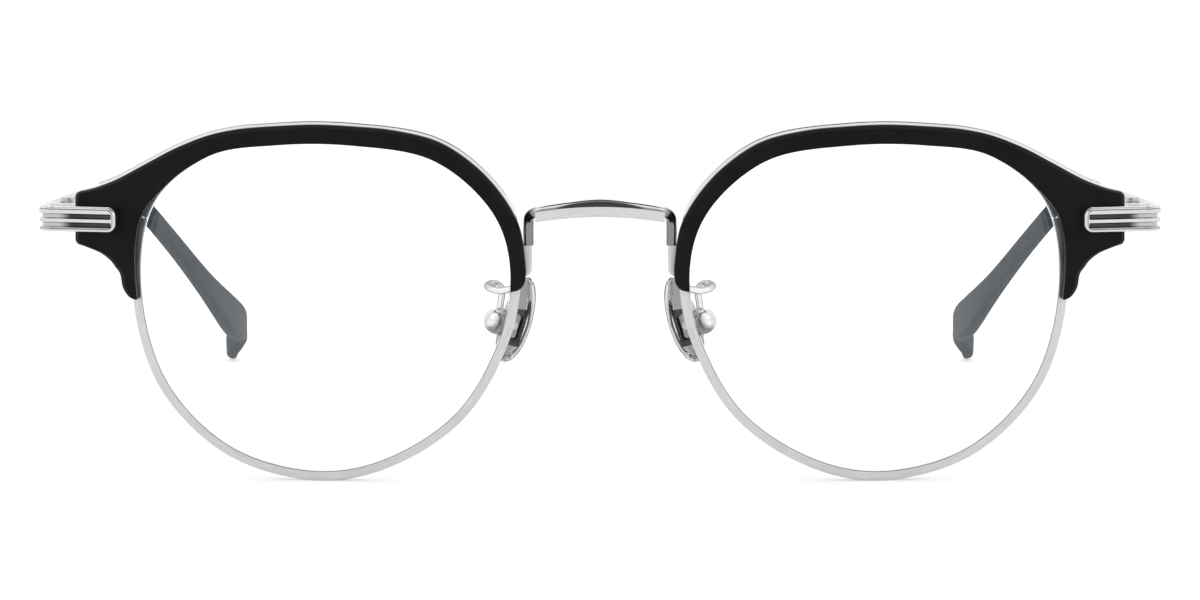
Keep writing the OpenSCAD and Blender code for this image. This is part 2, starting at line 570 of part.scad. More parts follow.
module bridge_foot(side) color("silver") place(side) difference() {
    translate([leg_x + foot_step, leg_y + seat_gap, foot_top - foot_h]) cube([foot_reach, foot_d, foot_h]);
    rim_outside();
}

// --- nose pads --------------------------------------------------------------------------------
// The pad's middle, from the leg's inner face, from its front and from the lens's middle
pad_out = 2.3;
pad_behind = 7.2;
pad_drop = 2.3;
pad_x = leg_x + pad_out;
pad_y = leg_y + pad_behind;
pad_z = lens_z - pad_drop;
screw_off = 0.9;  // from the pad's back to its screw
screw_n = pad_t / 2 + screw_off;
box_w = 2.6;
box_l = 3.2;
box_back = 0.65;  // from the screw towards the pad
box_front = 0.98;  // from the screw to the foot of the slot
cup_wall = 0.5;
cup_from = screw_n + box_front + cup_wall;
// Radius of the ball that gives a cup of that diameter and depth
cup_r = (cup_d * cup_d / 4 + cup_depth * cup_depth) / (2 * cup_depth);
tongue_t = 0.9;
tongue_l = 1.9;
pad_pin_d = 1;
// The core is the stiff block moulded into the pad
core_t = 0.6;
core_w = 2.8;
core_l = 4.8;
// Rings of the pad's shape, from the nose's side outwards: share of its thickness, share of its outline
PAD_SHAPE = [[-0.5, 0.4], [-0.42, 0.75], [-0.2, 0.94], [0.1, 1], [0.36, 0.92], [0.5, 0.8], [0.46, 0.4]];
pad_pear = 0.12;  // how much wider a pad is towards the face
// The pad's own directions: +X away from the nose, +Y towards the face, +Z up its length
module pad_frame() translate([pad_x, pad_y, pad_z]) rotate([0, -pad_lean, -pad_splay]) children();
function leaned(p) = let (c = cos(pad_lean), s = sin(pad_lean))
    [p.x * c - p.z * s, p.y, p.x * s + p.z * c];
function splayed(p) = let (c = cos(pad_splay), s = sin(pad_splay))
    [p.x * c + p.y * s, p.y * c - p.x * s, p.z];
function pad_point(p) = [pad_x, pad_y, pad_z] + splayed(leaned(p));
// The mount sits a little forward of the pad's middle, and a little below it
mount_in = -1;
mount_up = -1.1;
module mount_frame() pad_frame() translate([0, mount_in, mount_up]) children();

module nose_pad(side) color("gainsboro") place(side) difference() {
    N = 20;
    pad_frame() skin([for (q = PAD_SHAPE)
        [for (j = [0:N - 1]) let (a = -j * 360 / N, k = 1 - pad_pear * sin(a))
            [q[0] * pad_t, q[1] * k * pad_w / 2 * cos(a), q[1] * pad_l / 2 * sin(a)]]]);
    mount_frame() translate([pad_t / 2 - core_t - seat_gap, -core_w / 2 - seat_gap, -core_l / 2 - seat_gap])
        cube([pad_t, core_w + 2 * seat_gap, core_l + 2 * seat_gap]);
}
module pad_core(side) color("lightgray") place(side) mount_frame() difference() {
    union() {
        translate([pad_t / 2 - core_t, -core_w / 2, -core_l / 2]) cube([core_t, core_w, core_l]);
        translate([pad_t / 2 - joined, -tongue_t / 2, -tongue_l / 2])
            cube([screw_off + joined, tongue_t, tongue_l]);
        translate([screw_n, 0, 0]) rotate([90, 0, 0])
            cylinder(d = tongue_l, h = tongue_t, center = true, $fn = 32);
    }
    translate([screw_n, 0, 0]) rotate([90, 0, 0])
        cylinder(d = pad_pin_d + 2 * run_gap, h = 2 * box_w, center = true, $fn = 32);
}
// Two cheeks hold the pad's tongue; they stand on the flat of a round cup
module pad_box(side) color("silver") place(side) difference() {
    mount_frame() difference() {
        union() {
            translate([screw_n - box_back, -box_w / 2, -box_l / 2])
                cube([box_back + box_front + cup_wall, box_w, box_l]);
            intersection() {
                translate([cup_from + cup_depth - cup_r, 0, 0]) sphere(r = cup_r, $fn = 48);
                translate([cup_from - joined, -cup_d, -cup_d]) cube(2 * cup_d);
            }
        }
        translate([screw_n - box_l, -tongue_t / 2 - run_gap, -box_l])
            cube([box_l + box_front, tongue_t + 2 * run_gap, 2 * box_l]);
        translate([screw_n, 0, 0]) rotate([90, 0, 0])
            cylinder(d = pad_pin_d + 2 * seat_gap, h = 2 * box_w, center = true, $fn = 32);
    }
    translate(arm_end) cylinder(d = arm_wire + 2 * seat_gap, h = cup_d, $fn = 32);
}
module pad_screw(side) color("silver") place(side) mount_frame() translate([screw_n, box_w / 2, 0])
    rotate([-90, 0, 0]) mirror([0, 0, 1]) small_screw(pad_pin_d, box_w);

// The wire's end stands upright in the top of the cup
arm_sink = 0.9;
arm_end = pad_point([cup_from, mount_in, mount_up]) + [0, 0, cup_d / 2 - arm_sink];
solder_t = 0.6;  // the outline position where the wire is soldered to the rim's back
// Knots of the wire's loop: out from the opening's nose side, back from the leg's front, up from
// the lens's middle
ARM_LOOP = [[1.3, 2.05, 2], [2.6, 2.75, 2.2], [3, 3.5, 2.5], [2.55, 4.3, 2.72], [1.8, 4.6, 2.6],
    [1.25, 4.5, 2.1]];
// The wire's upright end, from the top of the cup up
ARM_STEM = [[-0.25, 0, 2.7], [-0.12, 0, 1.9], [0, 0, 1.05], [0, 0, 0]];
module pad_arm(side) color("silver") place(side) {
    cup_top = arm_end + [0, 0, seat_gap];
    solder = [edge(solder_t, rim_w / 2).x, sag(edge(solder_t, 0)) + rim_back + arm_wire / 2 + seat_gap,
        edge(solder_t, 0).y];
    P = curve(concat([solder], [for (k = ARM_LOOP) [nose_w / 2, leg_y, lens_z] + k],
        [for (k = ARM_STEM) cup_top + k]), 4);
    skin([for (i = [0:len(P) - 1])
        let (t = tangent(P, i), side = unit(cross(t, [0, -1, 1])), up = cross(side, t))
        [for (j = [0:7]) P[i] + arm_wire / 2 * (cos(45 * j) * side + sin(45 * j) * up)]]);
}

// The middle between the brows' foremost point and the tips' end
near_y = min([for (k = BROW_EDGE) for (q = brow_ring(k)) q.y]);
far_y = max([for (i = [len(PATH) - 3:len(PATH) - 1]) for (q = tip_ring(PATH, i)) q.y]);
middle_y = (near_y + far_y) / 2;

lens(1);  // lens_left
lens(-1);  // lens_right
rim(1);  // rim_left
rim(-1);  // rim_right
brow(1);  // brow_left
brow(-1);  // brow_right
brow_trim(1);  // brow_trim_left
brow_trim(-1);  // brow_trim_right
brow_screw(1);  // brow_screw_left
brow_screw(-1);  // brow_screw_right
bridge_bar();
bridge_plate();
bridge_foot(1);  // bridge_foot_left
bridge_foot(-1);  // bridge_foot_right
pad_arm(1);  // pad_arm_left
pad_arm(-1);  // pad_arm_right
pad_box(1);  // pad_box_left
pad_box(-1);  // pad_box_right
pad_core(1);  // pad_core_left
pad_core(-1);  // pad_core_right
pad_screw(1);  // pad_screw_left
pad_screw(-1);  // pad_screw_right
nose_pad(1);  // nose_pad_left
nose_pad(-1);  // nose_pad_right
endpiece(1);  // endpiece_left
endpiece(-1);  // endpiece_right
rim_lock(1, true);  // rim_lock_upper_left
rim_lock(-1, true);  // rim_lock_upper_right
rim_lock(1, false);  // rim_lock_lower_left
rim_lock(-1, false);  // rim_lock_lower_right
rim_screw(1);  // rim_screw_left
rim_screw(-1);  // rim_screw_right
hinge_front(1);  // hinge_front_left
hinge_front(-1);  // hinge_front_right
hinge_temple(1);  // hinge_temple_left
hinge_temple(-1);  // hinge_temple_right
hinge_screw(1);  // hinge_screw_left
hinge_screw(-1);  // hinge_screw_right
temple(1);  // temple_left
temple(-1);  // temple_right
temple_tip(1);  // temple_tip_left
temple_tip(-1);  // temple_tip_right
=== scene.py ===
import math

import bpy
import numpy as np
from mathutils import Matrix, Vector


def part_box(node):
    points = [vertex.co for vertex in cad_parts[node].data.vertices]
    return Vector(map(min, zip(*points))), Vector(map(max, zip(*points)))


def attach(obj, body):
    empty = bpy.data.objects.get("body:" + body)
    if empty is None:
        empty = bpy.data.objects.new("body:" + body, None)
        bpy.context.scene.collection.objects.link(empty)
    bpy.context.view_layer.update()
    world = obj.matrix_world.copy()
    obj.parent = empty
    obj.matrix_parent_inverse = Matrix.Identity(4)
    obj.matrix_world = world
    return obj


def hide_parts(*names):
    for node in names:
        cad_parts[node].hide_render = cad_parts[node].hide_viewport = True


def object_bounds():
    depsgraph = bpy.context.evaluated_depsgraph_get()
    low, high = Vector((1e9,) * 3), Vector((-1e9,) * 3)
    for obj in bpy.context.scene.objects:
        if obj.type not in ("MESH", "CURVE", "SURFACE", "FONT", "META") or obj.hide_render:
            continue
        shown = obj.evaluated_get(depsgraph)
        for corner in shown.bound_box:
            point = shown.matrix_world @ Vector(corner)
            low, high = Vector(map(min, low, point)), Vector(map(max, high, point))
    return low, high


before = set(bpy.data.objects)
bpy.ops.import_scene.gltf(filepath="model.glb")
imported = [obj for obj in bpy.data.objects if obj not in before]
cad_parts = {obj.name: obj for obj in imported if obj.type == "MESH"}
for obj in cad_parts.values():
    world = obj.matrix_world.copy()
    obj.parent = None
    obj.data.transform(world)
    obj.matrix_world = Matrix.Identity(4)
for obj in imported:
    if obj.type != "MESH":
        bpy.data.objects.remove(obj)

cad_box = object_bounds()

# Combination eyeglasses: metal rims, bridge and temples under an acetate brow on each side.
# Shapes are worked out in millimetres with the front at y = 0 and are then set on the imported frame,
# whose +Z is up, whose front looks along -Y and whose +X is the wearer's left.
MM = 0.001
SIDES = {"left": 1, "right": -1}

# --- sizes ---
# Lenses and rims
LENS_W, LENS_H, LENS_T = 46.8, 41.7, 1.8
LENS_STEPS, RIM_STEPS = 392, 561  # points round a lens and along a rim
CURVE_R = 132.0  # radius of the curve that lenses, rims and brows follow
WRAP_SHIFT = 9.6  # how much nearer the nose the curve's own middle is than a lens's
NOSE_W = 22.6
BEVEL = 0.5
GROOVE_HALF = 0.5
RIM_W, RIM_D = 1.2, 2.0
RIM_SPLIT, LOCK_AT = 0.3, 7.19  # how far a rim's ends stand apart, and where on the outline
# Brows and their trim
BROW_W, BROW_T = 2.35, 2.2
SHOULDER, FULL_SHOULDER = 0.5, 1.6  # the shoulder, and the width from which a brow has all of it
EVEN_FROM, EVEN_TO = 1.5, 5.5  # between these outline positions a brow is a band over the rim
NOSE_THIN = 0.08  # the share of its width that the band has lost where it starts
WING_REACH, WING_H = 8.4, 6.8
WING_ROUND = 0.8
BARE_LINE, BARE_LOSS = 0.7, 0.5  # the metal left bare beside the endpiece
TRIM_SHOW, TRIM_D = 0.45, 1.2
TRIM_CLEAR, TUCK_TO, TRIM_LIFT = 0.1, 2.0, 0.2  # how the trim starts, drawn in over the foot
# Bridge
PLATE_L, PLATE_H, PLATE_T, PLATE_CROWN, CROWN_L = 16.2, 1.3, 1.1, 0.6, 11.6
PLATE_LIP, PLATE_SLOPE, PLATE_PINCH = 0.1, 0.7, 0.3
BRIDGE_RISE = 0.65
LEG_W, LEG_D, LEG_ROUND = 1.3, 1.4, 0.42
ARCH_END = 1.05  # how far towards the nose from a leg the bar's arch ends
FOOT_H, FOOT_STEP, FOOT_LEAN = 4.0, 0.2, 0.1
FOOT_DROP = 3.2  # from the endpieces' middle down to the top of a foot
BAR_UP, BAR_PART, BAR_BOW = 0.35, 0.2, 0.2  # the bar's line over the plate's, and behind it
BRIDGE_UP = 0.55  # from the endpieces' middle up to the bar
BAR_FORWARD = 0.7
LEG_SHIFT = 2.96
# Pads
PAD_L, PAD_W, PAD_T = 11.4, 6.0, 1.7
PAD_LEAN, PAD_SPLAY = math.radians(21), math.radians(37)
ARM_WIRE = 0.9
CUP_D, CUP_DEPTH = 3.3, 2.2
BOX_W, BOX_L, BOX_BACK, BOX_FRONT = 2.6, 3.2, 0.65, 0.98
CHEEK_PAINTED_REFLECTION = 0.8  # how much painted dark reflection a cheek gets, as if it mirrored the dark things beside it
CUP_WALL = 0.5
TONGUE_T = 0.9
SCREW_IN = PAD_T / 2 + 0.9
MOUNT_IN, MOUNT_UP = -1.0, -1.1
PAD_OUT, PAD_BACK, PAD_DROP = 2.3, 7.2, 2.3
# Endpieces
END_H, END_T, END_L, END_OUT = 3.2, 1.3, 5.5, 4.7
CORNER_R = 2.2
HINGE_BACK = 5.6
LIP_R = 0.34  # the quarter-round between an endpiece's face and its sides
CHANNEL_W, CHANNEL_D, CHANNEL_WALL = 0.55, 0.4, 0.09
CHANNEL_BORDER, CHANNEL_DROP = 0.62, 0.2
CHANNEL_APART = END_H * 0.34  # from one channel's middle to the other's
LINE_IN, LINE_D = 0.38, 0.06  # the fine line that follows the face's outline
PLATE_ROUND = 1.1  # corners of the endpiece's inner end
WEB_UP, WEB_H, WEB_T = 0.9, 1.5, 1.3
LOCK_L = 2.6
# Temples and tips
TEMPLE_L, TEMPLE_INSET = 126.0, 9.95
BARE_SHARE = 0.48
TIP_H, TIP_T, TIP_FLARE = 2.8, 2.1, 6.1
CORE_SHARE, CORE_END_H, CORE_END_T, MOUTH_H = 0.88, 1.4, 0.9, 1.9
FLARE_AT, FLARE_SPREAD = 0.85, 0.1
CLOSE_FROM, CLOSE_TO, CLOSE_LEFT = 0.955, 0.9994, 0.02  # where the tip rounds off, and how far
TIP_ROUND = 0.47  # the corners of its section, as a share of its thickness
MOUTH_LOSS, MOUTH_RUN = 0.16, 0.22  # the share that its mouth is drawn in by, and over what length
# Gaps
SEAT_GAP, RUN_GAP = 0.03, 0.05

# The lens opening: knots in half widths and half heights from its middle, from the nose side up
OUTLINE = np.array([
    [-0.955, -0.15], [-1, 0.28], [-0.884, 0.623], [-0.58, 0.9], [-0.155, 0.983], [0.25, 0.983],
    [0.623, 0.91], [0.932, 0.613], [1, 0.1], [0.87, -0.455], [0.53, -0.85], [0.08, -1],
    [-0.33, -0.92], [-0.72, -0.625]])
# A temple's line: share of the length back, of the inset and of the drop
TEMPLE = np.array([
    [0, 0, 0], [0.24, 0.03, 0], [0.46, 0.08, 0.02], [0.56, 0.13, 0.09], [0.65, 0.51, 0.304],
    [0.74, 0.925, 0.55], [0.83, 1.16, 0.723], [0.92, 1.22, 0.82], [0.965, 1.025, 0.93], [1, 1, 1]])


# --- lines and profiles ---
def cubic(p0, p1, p2, p3, f):
    """Catmull-Rom cubic: the point a share f of the way from p1 to p2, heading as p0 to p2 does."""
    return 0.5 * (2 * p1 + (p2 - p0) * f + (2 * p0 - 5 * p1 + 4 * p2 - p3) * f ** 2
                  + (p3 - 3 * p2 + 3 * p1 - p0) * f ** 3)


def line_through(knots, m):
    """Smooth open line through knots, m points a stretch, straight out beyond both ends."""
    knots = np.asarray(knots, float)
    ends = np.concatenate([[2 * knots[0] - knots[1]], knots, [2 * knots[-1] - knots[-2]]])
    f = np.linspace(0, 1, m, endpoint=False)[None, :, None]
    rows = [ends[k:len(ends) - 3 + k, None] for k in range(4)]
    return np.concatenate([cubic(*rows, f).reshape(-1, knots.shape[1]), knots[-1:]])


def length(v):
    """Length of each vector, kept as a last axis of one."""
    return np.sqrt((v * v).sum(-1, keepdims=True))


def unit(v):
    """Each vector divided by its length."""
    return v / np.maximum(length(v), 1e-12)


def heading(line):
    """Direction of a line at each point: from the point before it to the point after it."""
    return unit(np.concatenate([line[1:2] - line[:1], line[2:] - line[:-2], line[-1:] - line[-2:-1]]))


def ease(x, lo, hi):
    """Smooth step: 0 below lo, 1 above hi, and f * f * (3 - 2 f) between them."""
    f = np.clip((x - lo) / (hi - lo), 0, 1)
    return f * f * (3 - 2 * f)


def rounded(corners, cut, steps=4):
    """Closed profile whose corners give way to parabolas that start and end a cut away from them.
    cut is one for all, or one for each corner. Returns the points and, for each, how sharp a bend
    it lies on."""
    before = np.roll(corners, 1, axis=-2) - corners
    after = np.roll(corners, -1, axis=-2) - corners
    room = 0.45 * np.minimum(length(before), length(after))
    cut = np.minimum(np.asarray(cut, float)[..., None], room)
    start, end = corners + unit(before) * cut, corners + unit(after) * cut
    s = np.linspace(0, 1, steps)[:, None]
    points = ((1 - s) ** 2 * start[..., None, :] + 2 * s * (1 - s) * corners[..., None, :]
              + s ** 2 * end[..., None, :])
    turn = 1 + (unit(before) * unit(after)).sum(-1)
    bend = np.clip(turn, 0, 1)[..., None] * (4 * s * (1 - s))[:, 0]
    flat = points.shape[:-3] + (-1,)
    return points.reshape(flat + (2,)), bend.reshape(flat)


def unit_at(t):
    """Point of the closed outline at knot position t, in half widths and half heights."""
    i = np.floor(t).astype(int)
    k = [OUTLINE[(i + j) % len(OUTLINE)] for j in (-1, 0, 1, 2)]
    return cubic(*k, (t - i)[..., None])


def around(t, w):
    """Point w outside the opening's edge at knot position t, from the lens's middle."""
    half = np.array([LENS_W, LENS_H]) / 2
    along = (unit_at(t + 0.01) - unit_at(t - 0.01)) * half
    out = unit(np.stack([-along[..., 1], along[..., 0]], -1))
    return unit_at(t) * half + np.asarray(w)[..., None] * out


KNOTS = len(OUTLINE)
lens_x = NOSE_W / 2 + LENS_W / 2
lens_z = -around(np.linspace(0, KNOTS, 84, endpoint=False), RIM_W)[:, 1].min()
curve_x = lens_x - WRAP_SHIFT


def edge(t, w):
    """The same point in the front view, with x from the middle of the nose and z from the table."""
    return around(t, w) + (lens_x, lens_z)


def sag(x, z):
    """How far a sphere of the curve's radius lies back at a point of the front view."""
    return CURVE_R - np.sqrt(CURVE_R ** 2 - (x - curve_x) ** 2 - (z - lens_z) ** 2)


def lay(p, d):
    """A point of the front view, set at depth d behind that sphere."""
    x, z = p[..., 0], p[..., 1]
    return np.stack(np.broadcast_arrays(x, sag(x, z) + d, z), -1)


rim_front = LENS_T / 2 - RIM_D / 2
rim_back = LENS_T / 2 + RIM_D / 2
brow_back = rim_front - SEAT_GAP
brow_front = brow_back - BROW_T
end_z = float(edge(np.array(LOCK_AT), 0)[1])
wing_x = lens_x + LENS_W / 2 + WING_REACH
end_x = wing_x + END_OUT
hinge_y = sag(wing_x, end_z) + HINGE_BACK
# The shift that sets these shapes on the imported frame, read from the rim's box
rim_t = np.linspace(0, KNOTS, 2000)
shift_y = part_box("rim_left")[0].y / MM - lay(edge(rim_t, 0), rim_front)[:, 1].min()


# --- from grids to meshes ---
class Shell:
    """A closed surface through rings of points, all rings with the same number of points.
    Each end is closed by one flat face, or by a fan to a tip point. marks are numbers per point."""

    def __init__(self, rings, tips=(None, None), **marks):
        self.rings = np.asarray(rings, float)
        self.tips = tips
        self.marks = marks

    def marked(self, key):
        """A mark's number at each vertex: 0 at the tips, and all over a shell without that mark."""
        values = np.broadcast_to(self.marks.get(key, 0.0), self.rings.shape[:2]).ravel()
        return np.concatenate([values, np.zeros(sum(tip is not None for tip in self.tips))])

    def built(self, side):
        """Vertices, the faces' corners in one row, corners per face, uvs and normals per corner."""
        m, n = self.rings.shape[:2]
        points = self.rings.reshape(-1, 3) * (side, 1, 1)
        ids = np.arange(m * n).reshape(m, n)
        right = np.roll(ids, -1, axis=1)
        quads = np.stack([ids[:-1], right[:-1], right[1:], ids[1:]], -1).reshape(-1, 4)
        step_u = np.median(length(np.diff(self.rings, axis=0))[..., 0], axis=1)
        u = np.concatenate([[0], np.cumsum(step_u)])
        middle = self.rings[m // 2]
        v = np.concatenate([[0], np.cumsum(length(np.roll(middle, -1, axis=0) - middle)[:, 0])])
        uu = np.broadcast_to(np.stack([u[:-1], u[:-1], u[1:], u[1:]], -1)[:, None], (m - 1, n, 4))
        vv = np.broadcast_to(np.stack([v[:-1], v[1:], v[1:], v[:-1]], -1)[None], (m - 1, n, 4))
        uv = [np.stack([uu, vv], -1).reshape(-1, 2)]
        caps, extra = [], []
        for k, (ring, tip) in enumerate(zip((ids[0][::-1], ids[-1]), self.tips)):
            if tip is None:
                caps.append(ring[None])
            else:
                top = m * n + len(extra)
                extra.append(np.asarray(tip, float) * (side, 1, 1))
                caps.append(np.stack([ring, np.roll(ring, -1), np.full(n, top)], -1))
            flat = np.take(points, ring, axis=0)
            seat = (flat - flat.mean(0))[:, [0, 2]]
            uv.append(seat if tip is None else
                      np.stack([seat, np.roll(seat, -1, axis=0), seat * 0], 1).reshape(-1, 2))
        if extra:
            points = np.concatenate([points, extra])
        a, b, c, d = (points[quads[:, k]] for k in range(4))
        face_out = np.cross(c - a, d - b)
        sums = np.zeros_like(points)
        for k in range(4):
            np.add.at(sums, quads[:, k], face_out)
        for fan in [f for f, tip in zip(caps, self.tips) if tip is not None]:
            first, second, top = (points[fan[:, k]] for k in range(3))
            out = np.cross(second - first, top - first)
            for k in range(3):
                np.add.at(sums, fan[:, k], out)
        # the signed volume of the walls about the shell's middle says which way they face
        middle = points.mean(0)
        if ((a - middle) * np.cross(b - middle, c - middle)).sum() < 0:
            quads, sums = quads[:, ::-1], -sums
            uv[0] = uv[0].reshape(-1, 4, 2)[:, ::-1].reshape(-1, 2)
            caps = [f[:, ::-1] for f in caps]
            uv[1:] = [w.reshape(f.shape + (2,))[:, ::-1].reshape(-1, 2) for w, f in zip(uv[1:], caps)]
        smooth = unit(sums)
        normals = [smooth[quads.ravel()]]
        for f, tip in zip(caps, self.tips):
            if tip is None:
                ring = points[f[0]] - points[f[0]].mean(0)
                out = unit(np.cross(ring, np.roll(ring, -1, axis=0)).sum(0))
                normals.append(np.broadcast_to(out, (f.size, 3)))
            else:
                normals.append(smooth[f.ravel()])
        faces = [quads] + caps
        corners = np.concatenate([f.ravel() for f in faces])
        sizes = np.concatenate([np.full(len(f), f.shape[1]) for f in faces])
        return points, corners, sizes, np.concatenate(uv), np.concatenate(normals)


def added(name, data):
    """An object made from its data and put in the scene."""
    made = bpy.data.objects.new(name, data)
    bpy.context.scene.collection.objects.link(made)
    return made


def piece(name, shells, side, body, slot, coat, *nodes):
    """One object from its shells: it rides on a body, wears a material and stands for CAD nodes."""
    built = [shell.built(side) for shell in shells]
    points, corners, sizes, uv, normals = (np.concatenate(rows) for rows in zip(*built))
    # each shell's corners count on from the vertices of the shells before it
    before = np.cumsum([0] + [len(own[0]) for own in built[:-1]])
    corners = corners + np.repeat(before, [len(own[1]) for own in built])
    points = (points + (0, shift_y, 0)) * MM
    mesh = bpy.data.meshes.new(name)
    mesh.vertices.add(len(points))
    mesh.vertices.foreach_set("co", points.ravel())
    mesh.loops.add(len(corners))
    mesh.loops.foreach_set("vertex_index", corners.astype(np.int32))
    mesh.polygons.add(len(sizes))
    mesh.polygons.foreach_set("loop_start", (np.cumsum(sizes) - sizes).astype(np.int32))
    mesh.update(calc_edges=True)
    mesh.polygons.foreach_set("use_smooth", np.ones(len(sizes), bool))
    mesh.uv_layers.new(name="grain").uv.foreach_set("vector", (uv * MM).ravel())
    for key in dict.fromkeys(key for shell in shells for key in shell.marks):
        values = np.concatenate([shell.marked(key) for shell in shells])
        mesh.attributes.new(key, "FLOAT", "POINT").data.foreach_set("value", values)
    mesh.normals_split_custom_set(normals)
    mesh.materials.append(coat)
    made = added(name, mesh)
    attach(made, body)
    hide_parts(*nodes)


def swept(line, side_way, up_way, section):
    """Rings of a section carried along a line: each point of it goes its x along side_way and its
    y along up_way. The section and the two ways are one for all, or one for each point of the line."""
    section = np.broadcast_to(section, (len(line),) + section.shape[-2:])
    side_way, up_way = (np.broadcast_to(way, line.shape)[:, None] for way in (side_way, up_way))
    return line[:, None] + section[..., :1] * side_way + section[..., 1:] * up_way


def oblong(w, h, cut, steps=5):
    """Rounded rectangle, w across and h high, whose corners are cut back by cut. Each of the three
    is one number, or one for each point of a line."""
    w, h = np.broadcast_arrays(np.asarray(w, float), np.asarray(h, float))
    x = np.stack([w, -w, -w, w], -1) / 2
    y = np.stack([h, h, -h, -h], -1) / 2
    return rounded(np.stack([x, y], -1), np.asarray(cut, float)[..., None], steps)


def ways(line, beside=(0, 0, 1)):
    """Two directions square to a line at each point: one that is square to the direction beside
    too, and the one square to both. With no direction given they are level and upright."""
    t = heading(line)
    across = unit(np.cross(t, beside))
    return across, np.cross(across, t)


# --- finishes ---
def shader_node(tree, kind, inputs, **settings):
    """A node of a kind with its properties set, and its inputs set or linked by name or place."""
    made = tree.nodes.new("ShaderNode" + kind)
    for key, value in settings.items():
        setattr(made, key, value)
    for key, value in inputs.items():
        if isinstance(value, bpy.types.NodeSocket):
            tree.links.new(value, made.inputs[key])
        else:
            made.inputs[key].default_value = value
    return made


class Finish:
    """A material in the making: a Principled surface whose nodes are added step by step."""

    def __init__(self, name, **sockets):
        self.mat = bpy.data.materials.new(name)
        self.mat.use_nodes = True
        self.tree = self.mat.node_tree
        self.shader = self.tree.nodes["Principled BSDF"]
        for key, value in sockets.items():
            self.shader.inputs[key.replace("_", " ")].default_value = value

    def node(self, kind, inputs, **settings):
        """One more node of this material."""
        return shader_node(self.tree, kind, inputs, **settings)

    def place(self, scale, grain=False):
        """Coordinates in metres times a scale: along the piece's own surface, or through its body."""
        source = self.node("UVMap", {}, uv_map="grain") if grain else self.node("TexCoord", {})
        spot = source.outputs["UV" if grain else "Object"]
        return self.node("Mapping", {"Vector": spot, "Scale": scale}).outputs[0]

    def noise(self, vector, detail=3.0, rough=0.55):
        """Noise between about 0.3 and 0.7 over a vector."""
        inputs = {"Vector": vector, "Scale": 1.0, "Detail": detail, "Roughness": rough}
        return self.node("TexNoise", inputs).outputs["Fac"]

    def ranged(self, value, lo, hi, low=0.3, high=0.7):
        """value carried from low..high to lo..hi."""
        return self.node("MapRange", {0: value, 1: low, 2: high, 3: lo, 4: hi}).outputs[0]

    def mixed(self, share, a, b):
        """Colour a where share is 0, b where it is 1."""
        a, b = (v if isinstance(v, bpy.types.NodeSocket) else (*v, 1) for v in (a, b))
        return self.node("Mix", {0: share, 6: a, 7: b}, data_type="RGBA").outputs[2]

    def maths(self, operation, a, b):
        """Two values joined by an operation, held between 0 and 1."""
        return self.node("Math", {0: a, 1: b}, operation=operation, use_clamp=True).outputs[0]

    def mark(self, name):
        """A number that the mesh carries at each point."""
        return self.node("Attribute", {}, attribute_name=name).outputs["Fac"]

    def bump(self, *layers):
        """Relief layers of (value, depth in metres) laid over each other."""
        under = {}
        for value, depth in layers:
            made = self.node("Bump", {"Height": value, "Distance": depth, **under})
            under = {"Normal": made.outputs[0]}
        self.set(**under)

    def set(self, **sockets):
        """Shader sockets fed by nodes."""
        for key, value in sockets.items():
            self.tree.links.new(value, self.shader.inputs[key.replace("_", " ")])


def metal(name, dark, light, smooth, rough, relief, lines=(300, 9000, 9000), grain=True, marked=False,
          shade=(0.2, 0.205, 0.205)):
    """Metal with fine lines: noise drawn out along the piece sets tone, roughness and a shallow
    relief, broad noise adds the bloom of handled metal, and bends are burnished smoother. Points
    marked inner get painted shade, a darker colour that stands in for shade and dark reflections,
    and a marked metal's grooves take a dark, dull colour."""
    f = Finish(name, Metallic=1.0)
    fine = f.noise(f.place(lines, grain), 4.0, 0.6)
    bloom = f.noise(f.place((170, 170, 170)), 3.0, 0.5)
    base = f.mixed(f.ranged(fine, 0, 1), dark, light)
    base = f.mixed(f.ranged(bloom, 0, 0.4), base, light)
    gloss = f.maths("ADD", f.ranged(fine, smooth, rough), f.ranged(bloom, 0, 0.06))
    if marked:
        groove = f.mark("groove")
        groove_colour = f.mixed(f.ranged(bloom, 0, 1), (0.035, 0.042, 0.045), (0.08, 0.09, 0.095))
        base = f.mixed(groove, base, groove_colour)
        gloss = f.maths("ADD", gloss, f.maths("MULTIPLY", groove, 0.22))
    worn = f.maths("MULTIPLY", f.mark("bend"), 0.5)
    # painted shade: points marked inner are mixed towards the shade colour
    base = f.mixed(f.maths("MULTIPLY", f.mark("inner"), 0.75), f.mixed(worn, base, light), shade)
    f.set(Base_Color=base, Roughness=f.maths("SUBTRACT", gloss, f.maths("MULTIPLY", worn, 0.12)))
    f.bump((fine, relief), (bloom, relief * 6))
    return f.mat


def plastic(name, deep, pale, smooth, rough, relief, cell=2600, **sockets):
    """Moulded or tumbled plastic: broad noise shifts its colour, fine noise gives it a skin of
    tiny pits, and its bends are rubbed glossier."""
    f = Finish(name, **sockets)
    cloud = f.noise(f.place((260, 260, 260)), 4.0, 0.5)
    pits = f.noise(f.place((cell, cell, cell)), 3.0, 0.6)
    streak = f.noise(f.place((90, 2400, 2400), True), 2.0, 0.5)
    bend = f.mark("bend")
    base = f.mixed(f.ranged(cloud, 0, 1), deep, pale)
    base = f.mixed(f.maths("MULTIPLY", f.ranged(streak, 0, 0.5), 0.6), base, pale)
    gloss = f.maths("ADD", f.ranged(pits, smooth, rough), f.ranged(cloud, 0, 0.05))
    f.set(Base_Color=base, Roughness=f.maths("SUBTRACT", gloss, f.maths("MULTIPLY", bend, 0.1)))
    f.bump((pits, relief), (streak, relief * 1.5))
    return f.mat


